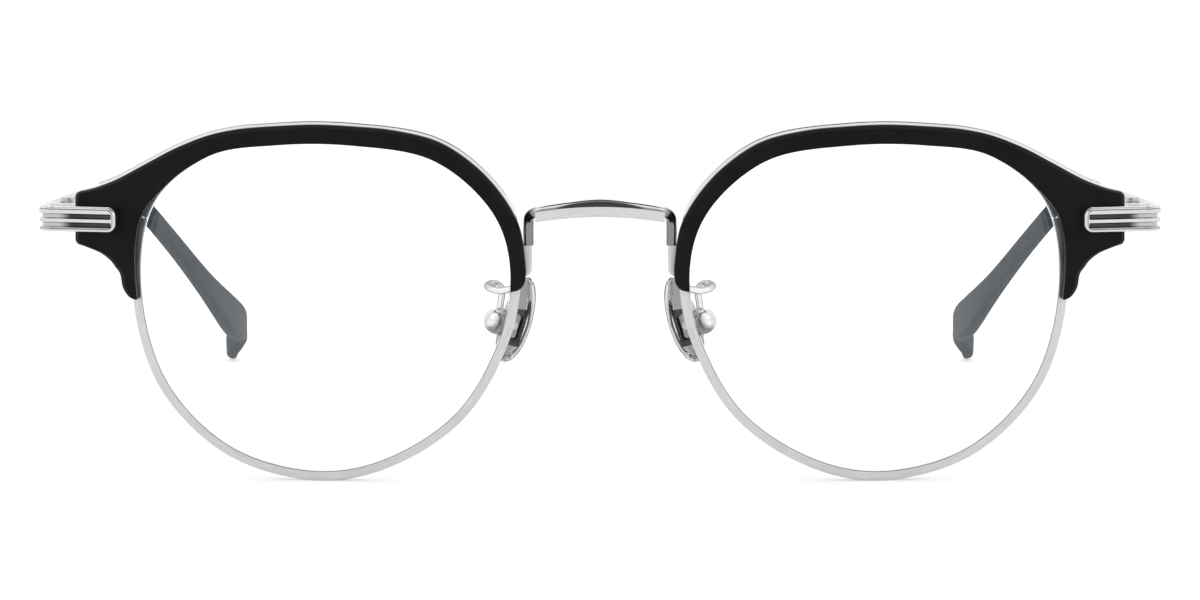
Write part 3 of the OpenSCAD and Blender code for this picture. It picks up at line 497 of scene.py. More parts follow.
def clear(name, tint, rough, ior, relief, weight=1.0, **sockets):
    """Clear glass or silicone: it bends light, and lets lamps through so that it casts no hard
    shadow. Faint noise varies its roughness, as wiping does, and its relief. Its bends, where it
    is thin, are less tinted."""
    f = Finish(name, IOR=ior, Transmission_Weight=weight, **sockets)
    f.set(Base_Color=f.mixed(f.maths("MULTIPLY", f.mark("bend"), 0.75), tint, (1, 1, 1)))
    smear = f.noise(f.place((150, 150, 150)), 3.0, 0.5)
    pits = f.noise(f.place((1800, 1800, 1800)), 2.0, 0.5)
    f.set(Roughness=f.ranged(smear, rough * 0.7, rough * 1.3))
    f.bump((pits, relief))
    shadow = f.node("LightPath", {}).outputs["Is Shadow Ray"]
    passing = f.node("BsdfTransparent", {"Color": (*(0.5 + 0.5 * np.array(tint)), 1)})
    both = f.node("MixShader", {0: shadow, 1: f.shader.outputs[0], 2: passing.outputs[0]})
    f.tree.links.new(both.outputs[0], f.tree.nodes["Material Output"].inputs["Surface"])
    return f.mat


SILVER_DARK, SILVER = (0.62, 0.625, 0.615), (0.86, 0.86, 0.845)
satin_silver = metal("satin_silver", SILVER_DARK, SILVER, 0.3, 0.46, 2.5e-6)
brushed_silver = metal("brushed_silver", (0.58, 0.585, 0.58), (0.8, 0.8, 0.79), 0.2, 0.34, 1.5e-6)
plate_silver = metal("plate_silver", (0.66, 0.665, 0.66), (0.84, 0.84, 0.83), 0.24, 0.36, 1e-6,
                     shade=(0.06, 0.065, 0.065))
polished_silver = metal("polished_silver", (0.72, 0.725, 0.72), (0.88, 0.88, 0.87), 0.08, 0.15, 3e-7,
                        shade=(0.04, 0.044, 0.044))
channelled_silver = metal("channelled_silver", (0.72, 0.725, 0.72), (0.9, 0.9, 0.89), 0.09, 0.16, 3e-7,
                          marked=True)
screw_steel = metal("screw_steel", (0.5, 0.505, 0.51), (0.74, 0.74, 0.735), 0.2, 0.34, 1e-6,
                    (2500, 2500, 9000), False)
black_acetate = plastic("black_acetate", (0.005, 0.006, 0.0058), (0.0095, 0.011, 0.0107), 0.32, 0.42,
                        1.2e-6, Specular_IOR_Level=0.09)
slate_acetate = plastic("slate_acetate", (0.04, 0.056, 0.071), (0.046, 0.063, 0.08), 0.4, 0.45,
                        4e-8, 1400, Specular_IOR_Level=0.05)
core_plastic = plastic("core_plastic", (0.02, 0.021, 0.022), (0.05, 0.052, 0.054), 0.3, 0.45, 8e-7)
# the lenses are coated, so they mirror little
lens_glass = clear("lens_glass", (0.995, 0.998, 1.0), 0.002, 1.5, 1e-9, Specular_IOR_Level=0.12)
pad_silicone = clear("pad_silicone", (0.25, 0.26, 0.265), 0.05, 1.41, 3e-7, 0.95)


# --- pieces of the front ---
def lens_shell():
    """The outline shrunk towards its middle ring by ring on the front sphere, out over the bevel,
    and back in on the back sphere. A ring is a share of the size, a line outside and a depth."""
    t = np.linspace(0, KNOTS, LENS_STEPS, endpoint=False)
    share = np.sin(np.linspace(0.06, 0.5, 16) * math.pi)
    mid, point = LENS_T / 2, BEVEL - SEAT_GAP - 0.04
    front = [(f, -SEAT_GAP, 0) for f in share]
    front += [(1, -SEAT_GAP, d) for d in (0.1, 0.25, mid - GROOVE_HALF + SEAT_GAP)]
    back = [(1, -SEAT_GAP, d) for d in (mid + GROOVE_HALF - SEAT_GAP, LENS_T - 0.25, LENS_T - 0.1)]
    back += [(f, -SEAT_GAP, LENS_T) for f in share[::-1]]
    f, w, d = np.array(front + [(1, point, mid - 0.03), (1, point, mid + 0.03)] + back).T[:, :, None]
    middle = np.array([lens_x, lens_z])
    rings = lay(around(t[None], w) * f[..., None] + middle, d)
    return Shell(rings, tips=(lay(middle, 0.0), lay(middle, LENS_T)))


def rim_shell():
    """A grooved section carried round the outline, split where the rim's two ends meet. Its wall
    towards the lens is marked as an inner one, which gives it painted shade."""
    spread = edge(np.array([LOCK_AT - 0.5, LOCK_AT + 0.5]), 0)
    gap = RIM_SPLIT / float(length(spread[1] - spread[0])[0]) / 2
    t = np.linspace(LOCK_AT + gap, LOCK_AT + KNOTS - gap, RIM_STEPS)
    mid = LENS_T / 2
    corners = np.array([
        [BEVEL + SEAT_GAP, mid], [0, mid - GROOVE_HALF], [0, rim_front], [RIM_W / 2, rim_front],
        [RIM_W, rim_front], [RIM_W, mid], [RIM_W, rim_back], [RIM_W / 2, rim_back], [0, rim_back],
        [0, mid + GROOVE_HALF]])
    section, bend = rounded(corners, [0.02, 0.03, 0.12, 0.05, 0.3, 0.2, 0.3, 0.1, 0.12, 0.03])
    rings = lay(edge(t[:, None], section[None, :, 0]), section[:, 1])
    return Shell(rings, bend=bend, inner=1 - ease(section[:, 0], 0.02, 0.12))


def band(t, w):
    """A knot of a brow's outer edge: outline position, and the point w outside the opening there."""
    return [t, *edge(np.array(t), w)]


def wing(t, back, up):
    """A knot of a brow's outer end, back from its side and up from the endpiece's middle."""
    return [t, wing_x - back, end_z + up]


def wing_corner(t0, t1, top):
    """Most of a quarter circle, 78 degrees of it, round an outer corner of the brow."""
    a = np.radians(np.linspace(78, 0, 12) if top else np.linspace(0, -78, 12))
    up = (1 if top else -1) * (WING_H / 2 - WING_ROUND)
    return np.stack([np.linspace(t0, t1, 12), wing_x - WING_ROUND + WING_ROUND * np.cos(a),
                     end_z + up + WING_ROUND * np.sin(a)], -1)


def top_end():
    """The brow's upper edge from the end of the even band to the wing's shoulder."""
    return [band(5.9, BROW_W + 0.1), band(6.3, BROW_W + 0.58), band(6.6, BROW_W + 1.2),
            wing(6.87, 5.7, WING_H / 2 + 1.7), wing(7.02, 3, WING_H / 2 + 0.6)]


def brow_at(t):
    """Width of a brow's band, thinned by a smooth step towards the nose."""
    return BROW_W * (1 - NOSE_THIN * (1 - ease(t, 1.9, 3)))


def brow_shell():
    """From the opening's edge to the brow's own edge: a flat front, a sloping shoulder and a back
    on the rim, all following the curve."""
    top = [band(0.58, 0.12)]
    top += [band(t, BROW_W * share) for t, share in ((0.62, 0.51), (0.74, 0.78), (1, 0.82))]
    top += [band(t, brow_at(t)) for t in np.arange(EVEN_FROM, EVEN_TO + 0.1, 0.5)]
    top += top_end() + [wing(7.1, 1.3, WING_H / 2 + 0.1)]
    hang = ((7.5, 1.4, 0.2), (7.57, 3.3, 0.93), (7.62, 4.6, 1.84), (7.68, 5.3, 2.7))
    fade = ((7.95, 0.93), (8.02, 0.77), (8.07, 0.55), (8.095, 0.28))
    leg = [wing(t, back, -WING_H / 2 - down) for t, back, down in hang]
    leg += [band(7.82, BROW_W + 0.1)] + [band(t, BROW_W * share) for t, share in fade]
    outer = np.concatenate([line_through(top, 12), wing_corner(7.15, 7.2, True),
                            wing_corner(7.35, 7.42, False), line_through(leg, 12)])
    t = outer[:, 0]
    inner = edge(t, BARE_LINE * (ease(t, 6.7, 7.25) - BARE_LOSS * ease(t, 7.3, 8.1)))
    across = outer[:, 1:] - inner
    wide = length(across)[:, 0]
    slope = SHOULDER * np.minimum(1, wide / FULL_SHOULDER)
    q = np.stack([wide * 0, wide * 0, wide * 0.2, wide * 0.4, wide * 0.65, wide - slope, wide, wide,
                  wide * 0.7, wide * 0.35], -1)
    back, front = brow_back + 0 * wide, brow_front + 0 * wide
    d = np.stack([back, *[front] * 5, front + slope, *[back] * 3], -1)
    cut = [0.06, 0.14, 0.3, 0.3, 0.3, 0.07, 0.07, 0.1, 0.3, 0.3]
    section, bend = rounded(np.stack([q, d], -1), cut)
    flat = inner[:, None] + section[..., :1] * unit(across)[:, None]
    return Shell(lay(flat, section[..., 1]), bend=bend)


def rise_to(z, w, lo, hi):
    """The outline position, on the nose's side, where the line w outside is at height z."""
    t = np.linspace(lo, hi, 600)
    return float(np.interp(z, edge(t, w)[:, 1], t))


foot_top = end_z - FOOT_DROP
trim_w = brow_at(EVEN_FROM) + TRIM_SHOW - RIM_W - 3 * SEAT_GAP
trim_from = rise_to(foot_top + TRIM_LIFT, RIM_W, 0.5, 3)


def trim_shell():
    """A flat strip on edge behind the brow's outer edge, standing out above it but drawn in where it
    starts, by a smooth step."""
    knots = [band(t, brow_at(t)) for t in np.linspace(trim_from, EVEN_TO, 17)] + top_end()
    line = line_through(knots, 14)
    start, beside = edge(np.array([trim_from, trim_from]), np.array([0, 1]))
    room = (start[0] - leg_x - LEG_W - TRIM_CLEAR) / (start[0] - beside[0])
    tuck = brow_at(trim_from) + TRIM_SHOW - room
    top = TRIM_SHOW - 0.004 - tuck * (1 - ease(line[:, 0], trim_from, TUCK_TO))
    line = line[:, 1:]
    along = heading(line)
    out = np.stack([-along[:, 1], along[:, 0]], -1)
    low = TRIM_SHOW - trim_w + 0 * top
    q = np.stack([low, top, top, top, low], -1)
    d = rim_front + TRIM_D * np.array([0, 0, 0.5, 1, 1]) + 0 * q
    section, bend = rounded(np.stack([q, d], -1), [0.05, 0.2, 0.1, 0.2, 0.05])
    return Shell(lay(line[:, None] + section[..., :1] * out[:, None], section[..., 1]), bend=bend)


def plate_y(x):
    """The endpiece's outer face in the plan, in front of the brow."""
    return sag(x, end_z - END_H / 2) + brow_front - 2 * SEAT_GAP - END_T


def web_y(x):
    """The front of the web in the plan, behind the brow."""
    return sag(x, end_z + WEB_UP + WEB_H / 2) + rim_front + SEAT_GAP


def endpiece_shells():
    """A plate that starts with rounded corners on the brow, turns back over a corner and runs to the
    hinge. At each point the depth of its face is a quarter-round by the distance from its outline,
    plus two channels whose walls are smooth steps and a fine line that follows the outline. Behind
    the brow a square web runs from the rim's lock to the hinge."""
    turn_x = end_x - CORNER_R
    start_x = wing_x - END_L
    r = PLATE_ROUND
    swing = np.linspace(0.05, 0.5, 26) * math.pi
    x = np.concatenate([start_x + r * (1 - np.cos(swing)), np.linspace(start_x + r, turn_x, 34)[1:]])
    a = np.radians(np.linspace(-90, 0, 26)[1:])
    bend_y = plate_y(turn_x) + CORNER_R
    tail = np.linspace(bend_y, hinge_y - RUN_GAP / 2, 9)[1:]
    path = np.concatenate([np.stack([x, plate_y(x)], -1),
                           np.stack([turn_x + CORNER_R * np.cos(a), bend_y + CORNER_R * np.sin(a)], -1),
                           np.stack([np.full(8, end_x), tail], -1)])
    steps = length(np.diff(path, axis=0))[:, 0]
    run = r * (1 - math.cos(swing[0])) + np.concatenate([[0], np.cumsum(steps)])
    to_corner = np.maximum(r - run, 0)
    half = END_H / 2 - r + np.sqrt(r ** 2 - to_corner ** 2)
    run, to_corner = run[:, None], to_corner[:, None]
    inward = heading(path)
    inward = np.stack([-inward[:, 1], inward[:, 0]], -1)
    # heights across the face, close together at its edges
    z = np.linspace(-1, 1, 101)
    z = np.sign(z) * (1 - (1 - np.abs(z)) ** 1.15)
    zz = half[:, None] * z
    beyond = np.maximum(np.abs(zz) - (END_H / 2 - r), 0)
    dist = np.where((beyond > 0) & (to_corner > 0), r - np.hypot(to_corner, beyond),
                    np.minimum(run, END_H / 2 - np.abs(zz)))
    dist = np.clip(dist, 0, None)
    lip = LIP_R - np.sqrt(np.maximum(LIP_R ** 2 - np.maximum(LIP_R - dist, 0) ** 2, 0))
    height = zz + CHANNEL_DROP
    off = np.minimum(np.abs(height - CHANNEL_APART / 2), np.abs(height + CHANNEL_APART / 2))
    groove = 1 - ease(off, CHANNEL_W / 2 - CHANNEL_WALL, CHANNEL_W / 2 + CHANNEL_WALL)
    groove = groove * ease(run, CHANNEL_BORDER - CHANNEL_WALL, CHANNEL_BORDER + CHANNEL_WALL)
    cut = (1 - ease(np.abs(dist - LINE_IN), 0.02, 0.08)) * (1 - groove)
    depth = lip * 0.9 + CHANNEL_D * groove + LINE_D * cut
    # the channels' dark colour thins out where they turn the corner
    groove_tone = np.maximum(groove * (1 - 0.75 * ease(run, END_L + 0.6, END_L + 2.6)), 0.85 * cut)
    back_z = half[:, None] * np.array([1, 0.97, 0.5, 0, -0.5, -0.97, -1])
    back_d = np.array([END_T - 0.1, *[END_T] * 5, END_T - 0.1]) + 0 * back_z
    deep = np.concatenate([depth, back_d], 1)
    plan = path[:, None] + deep[..., None] * inward[:, None]
    rings = np.stack([plan[..., 0], plan[..., 1], end_z + np.concatenate([zz, back_z], 1)], -1)
    plate = Shell(rings, groove=np.concatenate([groove_tone, back_z * 0], 1))
    lock_out_x = float(edge(np.array(LOCK_AT), RIM_W)[0]) + LOCK_L
    x = np.linspace(lock_out_x, end_x - END_T / 2, 14)
    line = np.stack([x, web_y(x) + WEB_T / 2, np.full_like(x, end_z + WEB_UP)], -1)
    section, bend = oblong(WEB_T, WEB_H, 0.2)
    return [plate, Shell(swept(line, *ways(line), section), bend=bend)]


leg_x = NOSE_W / 2 - LEG_SHIFT
leg_y = sag(leg_x, end_z) + rim_front
bridge_z = end_z + BRIDGE_UP
bar_y = leg_y - BAR_FORWARD


def arch_z(x):
    """The line that the bridge follows: a parabola over the nose."""
    return bridge_z + BRIDGE_RISE * (1 - (2 * x / PLATE_L) ** 2)


def crown(x):
    """How far the plate's upper face rises: a parabola over its middle part."""
    return PLATE_CROWN * np.maximum(0, 1 - (2 * x / CROWN_L) ** 2)


def bar_shell():
    """A rounded bar that rises out of both feet, bends over two knuckles and arches over the nose,
    parting from the plate's line by the square of the distance from the middle."""
    end = leg_x - ARCH_END
    mid = leg_x + LEG_W / 2
    side = [[mid, leg_y + LEG_D / 2, foot_top + SEAT_GAP], [mid, leg_y + LEG_D / 2, bridge_z - 1.2],
            [mid - 0.25, leg_y + 0.1, bridge_z + 0.05]]
    for x in (end, PLATE_L / 4, 0):
        part = (x / end) ** 2
        side.append([x, bar_y + BAR_BOW * part, arch_z(x) + crown(x) + BAR_UP + BAR_PART * part])
    line = line_through([[-x, y, z] for x, y, z in side[:-1]] + side[::-1], 18)
    section, bend = oblong(LEG_W, LEG_D, LEG_ROUND, 7)
    # painted reflection: the polished legs are darkened as if they mirrored the dark brows beside them
    painted_reflection = 0.9 * ease(np.abs(line[:, :1]), end + 0.3, end + 0.9)
    return Shell(swept(line, *ways(line, (0, -1, 0)), section), bend=bend, inner=painted_reflection)


def plate_shell():
    """The faced plate: a front facet along the arch, over it a facet that leans back and is widest
    in the middle, and a flat back."""
    share = np.sin(np.linspace(-0.5, 0.5, 120) * math.pi)
    x = PLATE_L / 2 * share
    z = arch_z(x)
    pinch = 1 - PLATE_PINCH * np.clip((np.abs(share) - 0.985) / 0.015, 0, 1)
    rise, o = crown(x), np.zeros_like(x)
    half = PLATE_H / 2 + o
    top = PLATE_H / 2 + PLATE_LIP + rise
    y = np.stack([o, o, o, PLATE_LIP + PLATE_SLOPE * rise, PLATE_T + o, PLATE_T + o], -1)
    h = np.stack([-half, o, half, top, top, -half], -1) * pinch[:, None]
    section, bend = rounded(np.stack([y, h], -1), [0.14, 0.2, 0.035, 0.07, 0.1, 0.1], 5)
    # the facet that leans back, with the top above it, is marked inner for a painted dark reflection
    facet = section[..., 1] > PLATE_H / 2 * pinch[:, None] + 0.02
    front = bar_y - LEG_D / 2 - SEAT_GAP - PLATE_T
    line = np.stack([x, front + o, z], -1)
    return Shell(swept(line, (0, 1, 0), (0, 0, 1), section), bend=bend, inner=facet.astype(float))


def foot_shell():
    """A block between the bridge's leg and the rim: level rounded sections whose outer side follows
    the rim, and whose lower end rounds off towards it as an ellipse does."""
    s = np.linspace(0, 1, 40)
    z = foot_top - FOOT_H * s
    beside = edge(np.linspace(-0.5, 3, 900), RIM_W + SEAT_GAP)
    outer = np.interp(z, beside[:, 1], beside[:, 0]) - 0.004
    low = np.clip((s - 0.8) / 0.2, 0, 1)
    straight = leg_x + FOOT_STEP
    inner = straight + FOOT_LEAN * s + (outer - straight - 0.12) * (1 - np.sqrt(1 - 0.96 * low ** 2))
    deep = RIM_D - 0.2
    section, bend = oblong(outer - inner, deep * (1 - 0.12 * low), 0.3)
    middle = np.stack([(outer + inner) / 2, leg_y + SEAT_GAP + deep / 2 + 0 * s, z], -1)
    return Shell(swept(middle, (1, 0, 0), (0, 1, 0), section), bend=bend)


# --- pads ---
pad_spot = np.array([leg_x + PAD_OUT, leg_y + PAD_BACK, lens_z - PAD_DROP])
cup_base = SCREW_IN + BOX_FRONT + CUP_WALL


def pad_place(p):
    """A point of the pad's own directions (+X away from the nose, +Y to the face, +Z up its length),
    leaned and splayed and set in place."""
    x = p[..., 0] * math.cos(PAD_LEAN) - p[..., 2] * math.sin(PAD_LEAN)
    z = p[..., 0] * math.sin(PAD_LEAN) + p[..., 2] * math.cos(PAD_LEAN)
    y = p[..., 1]
    c, s = math.cos(PAD_SPLAY), math.sin(PAD_SPLAY)
    return np.stack([x * c + y * s, y * c - x * s, z], -1) + pad_spot


def pad_shell():
    """An oval cushion: ring after ring of one oval, larger and smaller by a smooth profile through
    its thickness, a little wider towards its lower end, closed by a tip on both sides."""
    profile = line_through([[-0.5, 0.1], [-0.485, 0.45], [-0.42, 0.75], [-0.2, 0.94], [0.1, 1],
                            [0.36, 0.92], [0.5, 0.8], [0.47, 0.4], [0.45, 0.1]], 6)
    a = np.linspace(0, 2 * math.pi, 96, endpoint=False)
    wide = 1 - 0.12 * np.sin(a)
    x = profile[:, :1] * PAD_T + 0 * a
    y = profile[:, 1:] * wide * PAD_W / 2 * np.cos(a)
    z = profile[:, 1:] * PAD_L / 2 * np.sin(a)
    rings = pad_place(np.stack([x, y, z], -1))
    ends = [pad_place(np.array([k * PAD_T, 0, 0])) for k in (-0.503, 0.45)]
    return Shell(rings, tips=ends, bend=ease(profile[:, 1:], 0.9, 0.99))


def box_shells():
    """A round cup, turned about the pad screw's own line from its crown to the edge of its flat,
    two cheeks in front of it with the slot for the pad's tongue between them, and the slot's floor."""
    ball = (CUP_D ** 2 / 4 + CUP_DEPTH ** 2) / (2 * CUP_DEPTH)
    flat = cup_base - 0.1
    a = np.linspace(0.04, 1, 22) * math.acos(max(-1, 1 - CUP_DEPTH / ball))
    # the crown's own x and radius, then those of a small round edge and the flat
    x = np.concatenate([cup_base + CUP_DEPTH - ball + ball * np.cos(a),
                        [cup_base - 0.04, cup_base - 0.08, flat, flat]])[:, None]
    r = np.concatenate([ball * np.sin(a),
                        [CUP_D / 2 - 0.02, CUP_D / 2 - 0.1, CUP_D / 2 - 0.3, 0.4]])[:, None]
    turn = np.linspace(0, 2 * math.pi, 64, endpoint=False)
    at = np.array([0, MOUNT_IN, MOUNT_UP])
    cup = np.stack([x + 0 * turn, r * np.cos(turn), r * np.sin(turn)], -1)
    tips = [pad_place(at + (end, 0, 0)) for end in (cup_base + CUP_DEPTH, flat)]
    # painted reflection: towards its edge the cup is darkened as if it mirrored the dark things beside
    # it, and the cheeks are too
    dark = ease(r / (CUP_D / 2) - 0.12 * np.sin(turn), 0.72, 1)
    shells = [Shell(pad_place(at + cup), tips=tips, inner=dark)]
    slot = TONGUE_T / 2 + RUN_GAP
    cheek = BOX_W / 2 - slot
    x = np.linspace(SCREW_IN - BOX_BACK, flat, 12)
    shrink = 1 - 0.06 * np.exp(-((x - x[0]) / 0.12) ** 2)
    cheek_section = oblong(cheek * shrink, BOX_L * shrink, 0.25)
    blocks = [(x, s * (slot + cheek / 2), cheek_section) for s in (-1, 1)]
    blocks += [(np.linspace(SCREW_IN + BOX_FRONT, flat, 4), 0.0, oblong(2 * slot + 0.1, BOX_L, 0.1))]
    for x, y, (section, bend) in blocks:
        line = np.stack([x, y + 0 * x, 0 * x], -1)
        rings = pad_place(at + swept(line, (0, 1, 0), (0, 0, 1), section))
        shells.append(Shell(rings, bend=bend, inner=CHEEK_PAINTED_REFLECTION))
    return shells


def arm_shell():
    """A round wire from its solder on the rim out to a loop and down into the top of the cup."""
    cup_top = pad_place(np.array([cup_base, MOUNT_IN, MOUNT_UP])) + (0, 0, CUP_D / 2 - 0.9 + SEAT_GAP)
    mid, back = edge(np.array(0.6), RIM_W / 2), edge(np.array(0.6), 0)
    solder = [mid[0], sag(*back) + rim_back + ARM_WIRE / 2 + SEAT_GAP, back[1]]
    loop = np.array([[1.3, 2.05, 2], [2.6, 2.75, 2.2], [3, 3.5, 2.5], [2.55, 4.3, 2.72],
                     [1.8, 4.6, 2.6], [1.25, 4.5, 2.1]]) + (NOSE_W / 2, leg_y, lens_z)
    stem = np.array([[-0.25, 0, 2.7], [-0.12, 0, 1.9], [0, 0, 1.05], [0, 0, 0]]) + cup_top
    line = line_through(np.concatenate([[solder], loop, stem]), 14)
    a = np.linspace(0, 2 * math.pi, 24, endpoint=False)
    circle = ARM_WIRE / 2 * np.stack([np.cos(a), np.sin(a)], -1)
    wire = swept(line, *ways(line, (0, -1, 1)), circle)
    # painted reflection: the sides of the polished wire are darkened as if they mirrored the dark
    # things beside it
    facing = (line[:, None] - wire)[..., 1] / (ARM_WIRE / 2)
    return Shell(wire, inner=1 - ease(facing, 0.3, 0.75))


# --- temples and tips ---
root_y = hinge_y + RUN_GAP / 2


def temple_line(drop):
    """The temple's centre line with that much drop at its end."""
    back, inset, fall = line_through(TEMPLE, 18).T
    x = end_x - END_T / 2 - TEMPLE_INSET * inset
    return np.stack([x, root_y + TEMPLE_L * back, end_z - drop * fall], -1)


def metal_section(share, gap):
    """The metal's section, tapering in height to the tip's mouth and on to its end inside the tip."""
    to_mouth = END_H - (END_H - MOUTH_H) * share / BARE_SHARE
    inside = np.minimum(1, (share - BARE_SHARE) / (CORE_SHARE - BARE_SHARE))
    h = np.where(share < BARE_SHARE, to_mouth, MOUTH_H - (MOUTH_H - CORE_END_H) * inside)
    t = END_T - (END_T - CORE_END_T) * np.minimum(1, share / CORE_SHARE)
    return oblong(t + 2 * gap, h + 2 * gap, np.full_like(share, 0.33))


def tip_section(share):
    """The tip's section: it flares as a bell curve near its end and rounds off as a circle does."""
    f = np.clip((share - CLOSE_FROM) / (CLOSE_TO - CLOSE_FROM), 0, 1)
    close = np.sqrt(np.maximum(CLOSE_LEFT, 1 - f ** 2))
    mouth = 1 - MOUTH_LOSS * np.exp(-((share - BARE_SHARE) * TEMPLE_L / MOUTH_RUN) ** 2)
    flare = TIP_H + (TIP_FLARE - TIP_H) * np.exp(-((share - FLARE_AT) / FLARE_SPREAD) ** 2)
    return oblong(TIP_T * close * mouth, flare * close * mouth, TIP_T * TIP_ROUND * close, 7)


def share_back(line):
    """How far back each point of a temple's line is, as a share of its length."""
    return (line[:, 1] - root_y) / TEMPLE_L


def lowest(line):
    """Height of the lowest point of the tip on a temple's line."""
    share = share_back(line)
    return swept(line, *ways(line), tip_section(share)[0])[share > BARE_SHARE][..., 2].min()


# The drop is first a guess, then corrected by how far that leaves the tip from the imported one
first_drop = end_z - TIP_T
first_low = lowest(temple_line(first_drop))
temple_path = temple_line(first_drop + first_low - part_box("temple_tip_left")[0].z / MM)
temple_share = share_back(temple_path)


def refined(lo, hi, m, ease_end=False):
    """The temple's line between two shares of the length back, at m points: even, or close at its
    end. Returns the points and their shares."""
    k = np.linspace(0, 1, m)
    s = lo + (hi - lo) * (np.sin(k * math.pi / 2) if ease_end else k)
    return np.stack([np.interp(s, temple_share, temple_path[:, j]) for j in range(3)], -1), s


def temple_shell():
    """The metal from the hinge back into the tip."""
    line, share = refined(0, CORE_SHARE, 220)
    section, bend = metal_section(share, 0)
    return Shell(swept(line, *ways(line), section), bend=bend)


def tip_shell():
    """From the bottom of the socket out to the mouth, and over the outside to the rounded end."""
    line, share = refined(BARE_SHARE, 1, 260, True)
    outer = tip_section(share)[0]
    inside, share = refined(BARE_SHARE, CORE_SHARE + 0.004, 120)
    socket = metal_section(share, RUN_GAP)[0]
    # the socket's ring takes as many points as the outside's
    k = np.linspace(0, socket.shape[1], outer.shape[1], endpoint=False)
    whole = k.astype(int)
    on = (k - whole)[:, None]
    socket = socket[:, whole] * (1 - on) + socket[:, (whole + 1) % socket.shape[1]] * on
    hollow, skin = swept(inside, *ways(inside), socket), swept(line, *ways(line), outer)
    return Shell(np.concatenate([hollow[::-1], skin]), tips=(inside[-1], line[-1]))


# --- everything set on the frame ---
# Each piece that both sides have: its shells, the body that it rides on, its slot and its finish
PIECES = {
    "lens": ([lens_shell()], "front", "lens", lens_glass),
    "rim": ([rim_shell()], "front", "rim_metal", satin_silver),
    "brow": ([brow_shell()], "front", "brow_acetate", black_acetate),
    "brow_trim": ([trim_shell()], "front", "trim_metal", polished_silver),
    "endpiece": (endpiece_shells(), "front", "endpiece_metal", channelled_silver),
    "bridge_foot": ([foot_shell()], "front", "rim_metal", satin_silver),
    "pad_box": (box_shells(), "front", "pad_metal", polished_silver),
    "pad_arm": ([arm_shell()], "front", "pad_metal", polished_silver),
    "nose_pad": ([pad_shell()], "nose_pad", "pad_silicone", pad_silicone),
    "temple": ([temple_shell()], "temple", "temple_metal", brushed_silver),
    "temple_tip": ([tip_shell()], "temple", "tip_acetate", slate_acetate),
}
for name, side in SIDES.items():
    for kind, (shells, rides_on, slot, coat) in PIECES.items():
        body = rides_on if rides_on == "front" else f"{rides_on}_{name}"
        piece(f"{kind}_{name}_dressed", shells, side, body, slot, coat, f"{kind}_{name}")
piece("bridge_bar_dressed", [bar_shell()], 1, "front", "bridge_metal", polished_silver, "bridge_bar")
piece("bridge_plate_dressed", [plate_shell()], 1, "front", "bridge_metal", plate_silver, "bridge_plate")

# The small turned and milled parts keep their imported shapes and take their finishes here
STEEL_PARTS = ("pad_screw", "brow_screw", "rim_screw", "hinge_screw", "rim_lock_upper",
               "rim_lock_lower", "hinge_front", "hinge_temple")
for kind in ("pad_core",) + STEEL_PARTS:
    coat = screw_steel if kind in STEEL_PARTS else core_plastic
    for name in SIDES:
        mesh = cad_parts[f"{kind}_{name}"].data
        mesh.materials.clear()
        mesh.materials.append(coat)

# --- floor, light and camera ---
FLOOR_REACH, FLOOR_GAP = 6.0, 2e-5
floor_mesh = bpy.data.meshes.new("floor")
level = cad_box[0].z - FLOOR_GAP
floor_mesh.from_pydata([(x * FLOOR_REACH, y * FLOOR_REACH, level)
                        for x, y in ((-1, -1), (1, -1), (1, 1), (-1, 1))], [], [(0, 1, 2, 3)])
floor = added("floor", floor_mesh)
# The floor is a white card that glows a little where it is seen, so that it stays white in shade
card = Finish("floor_white", Base_Color=(0.86, 0.86, 0.86, 1), Roughness=0.9,
              Specular_IOR_Level=0.1, Emission_Color=(1, 1, 1, 1))
ray = card.node("LightPath", {}).outputs
seen = card.maths("ADD", ray["Is Camera Ray"], ray["Is Transmission Ray"])
seen_glow = card.maths("MULTIPLY", seen, 0.36)
mirrored_glow = card.maths("MULTIPLY", ray["Is Glossy Ray"], 0.12)
card.set(Emission_Strength=card.maths("ADD", seen_glow, mirrored_glow))
floor_mesh.materials.append(card.mat)

world = bpy.data.worlds.new("studio")
bpy.context.scene.world = world
world.use_nodes = True
world.node_tree.nodes.clear()


def world_node(kind, inputs, **settings):
    """One more node of the room."""
    return shader_node(world.node_tree, kind, inputs, **settings)


# Soft light from all round; the mirror image of the room is pale, but dark overhead in front
ROOM_LIGHT, MIRRORED_LIGHT, DARK_SHARE = 0.78, 0.97, 0.04
ray = world_node("LightPath", {}).outputs
direction = world_node("SeparateXYZ", {0: world_node("TexCoord", {}).outputs["Generated"]})


def falling(value, low, high, top, bottom):
    """top where value is under low, bottom where it is over high, and a smooth step between them."""
    inputs = {0: value, 1: low, 2: high, 3: top, 4: bottom}
    return world_node("MapRange", inputs, interpolation_type="SMOOTHSTEP").outputs[0]


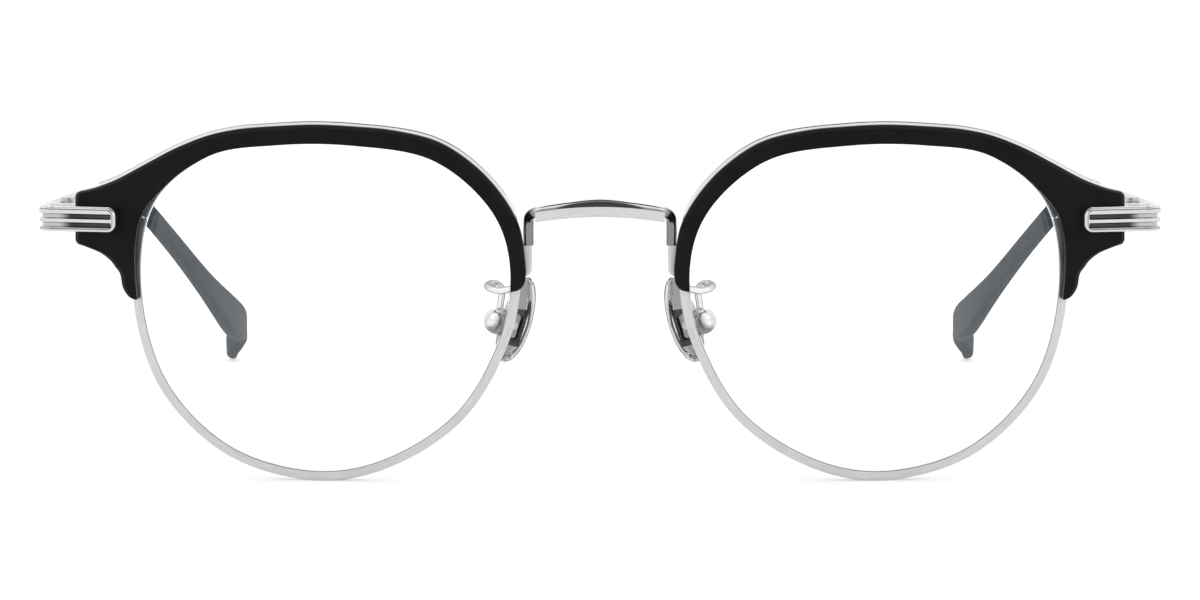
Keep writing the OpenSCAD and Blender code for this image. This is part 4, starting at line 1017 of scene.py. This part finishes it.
def product(a, b):
    """Two values multiplied."""
    return world_node("Math", {0: a, 1: b}, operation="MULTIPLY").outputs[0]


def glow(strength):
    """White light of one strength from all round."""
    return world_node("Background", {0: (1, 1, 1, 1), 1: strength}).outputs[0]


in_front = falling(direction.outputs[1], -0.3, 0.0, 1.0, 0.0)
overhead = product(falling(direction.outputs[2], 0.35, 0.6, 0.0, 1.0), in_front)
mirrored = product(falling(overhead, 0.0, 1.0, 1.0, DARK_SHARE), MIRRORED_LIGHT)
soft = world_node("MixShader", {0: ray["Is Glossy Ray"], 1: glow(ROOM_LIGHT), 2: glow(mirrored)})
seen = world_node("Math", {0: ray["Is Camera Ray"], 1: ray["Is Transmission Ray"]},
                  operation="ADD", use_clamp=True)
room = world_node("MixShader", {0: seen.outputs[0], 1: soft.outputs[0], 2: glow(1.0)})
world_node("OutputWorld", {0: room.outputs[0]})


def stand(name, data, spot, target):
    """A lamp or a camera put at a spot and turned to face a target."""
    made = added(name, data)
    made.location = spot
    aim = Vector(target) - made.location
    made.rotation_euler = aim.to_track_quat("-Z", "Y").to_euler()
    return made


def softbox(name, spot, size, power):
    """A square lamp that faces the middle of the glasses."""
    lamp = bpy.data.lights.new(name, "AREA")
    lamp.shape, lamp.size, lamp.energy = "SQUARE", size, power
    stand(name, lamp, spot, (0, 0, 0.02))


softbox("key", (-0.75, -0.75, 0.85), 0.7, 0.9)
softbox("fill", (0.8, -0.7, 0.75), 0.7, 0.7)
softbox("top_back", (0.0, 0.75, 1.0), 0.8, 0.8)

# How far ahead of the front the camera stands and how high, and the height that it looks at
EYE_AHEAD, EYE_HEIGHT, AIM_HEIGHT = 431.93, 65.57, 23.22
camera = bpy.data.cameras.new("camera")
camera.lens, camera.sensor_width = 103.77, 36.0
camera.clip_start, camera.clip_end = 0.01, 20
bpy.context.scene.camera = stand("camera", camera, (0, (shift_y - EYE_AHEAD) * MM, EYE_HEIGHT * MM),
                                 (0, shift_y * MM, AIM_HEIGHT * MM))
bpy.context.scene.view_settings.view_transform = "Standard"
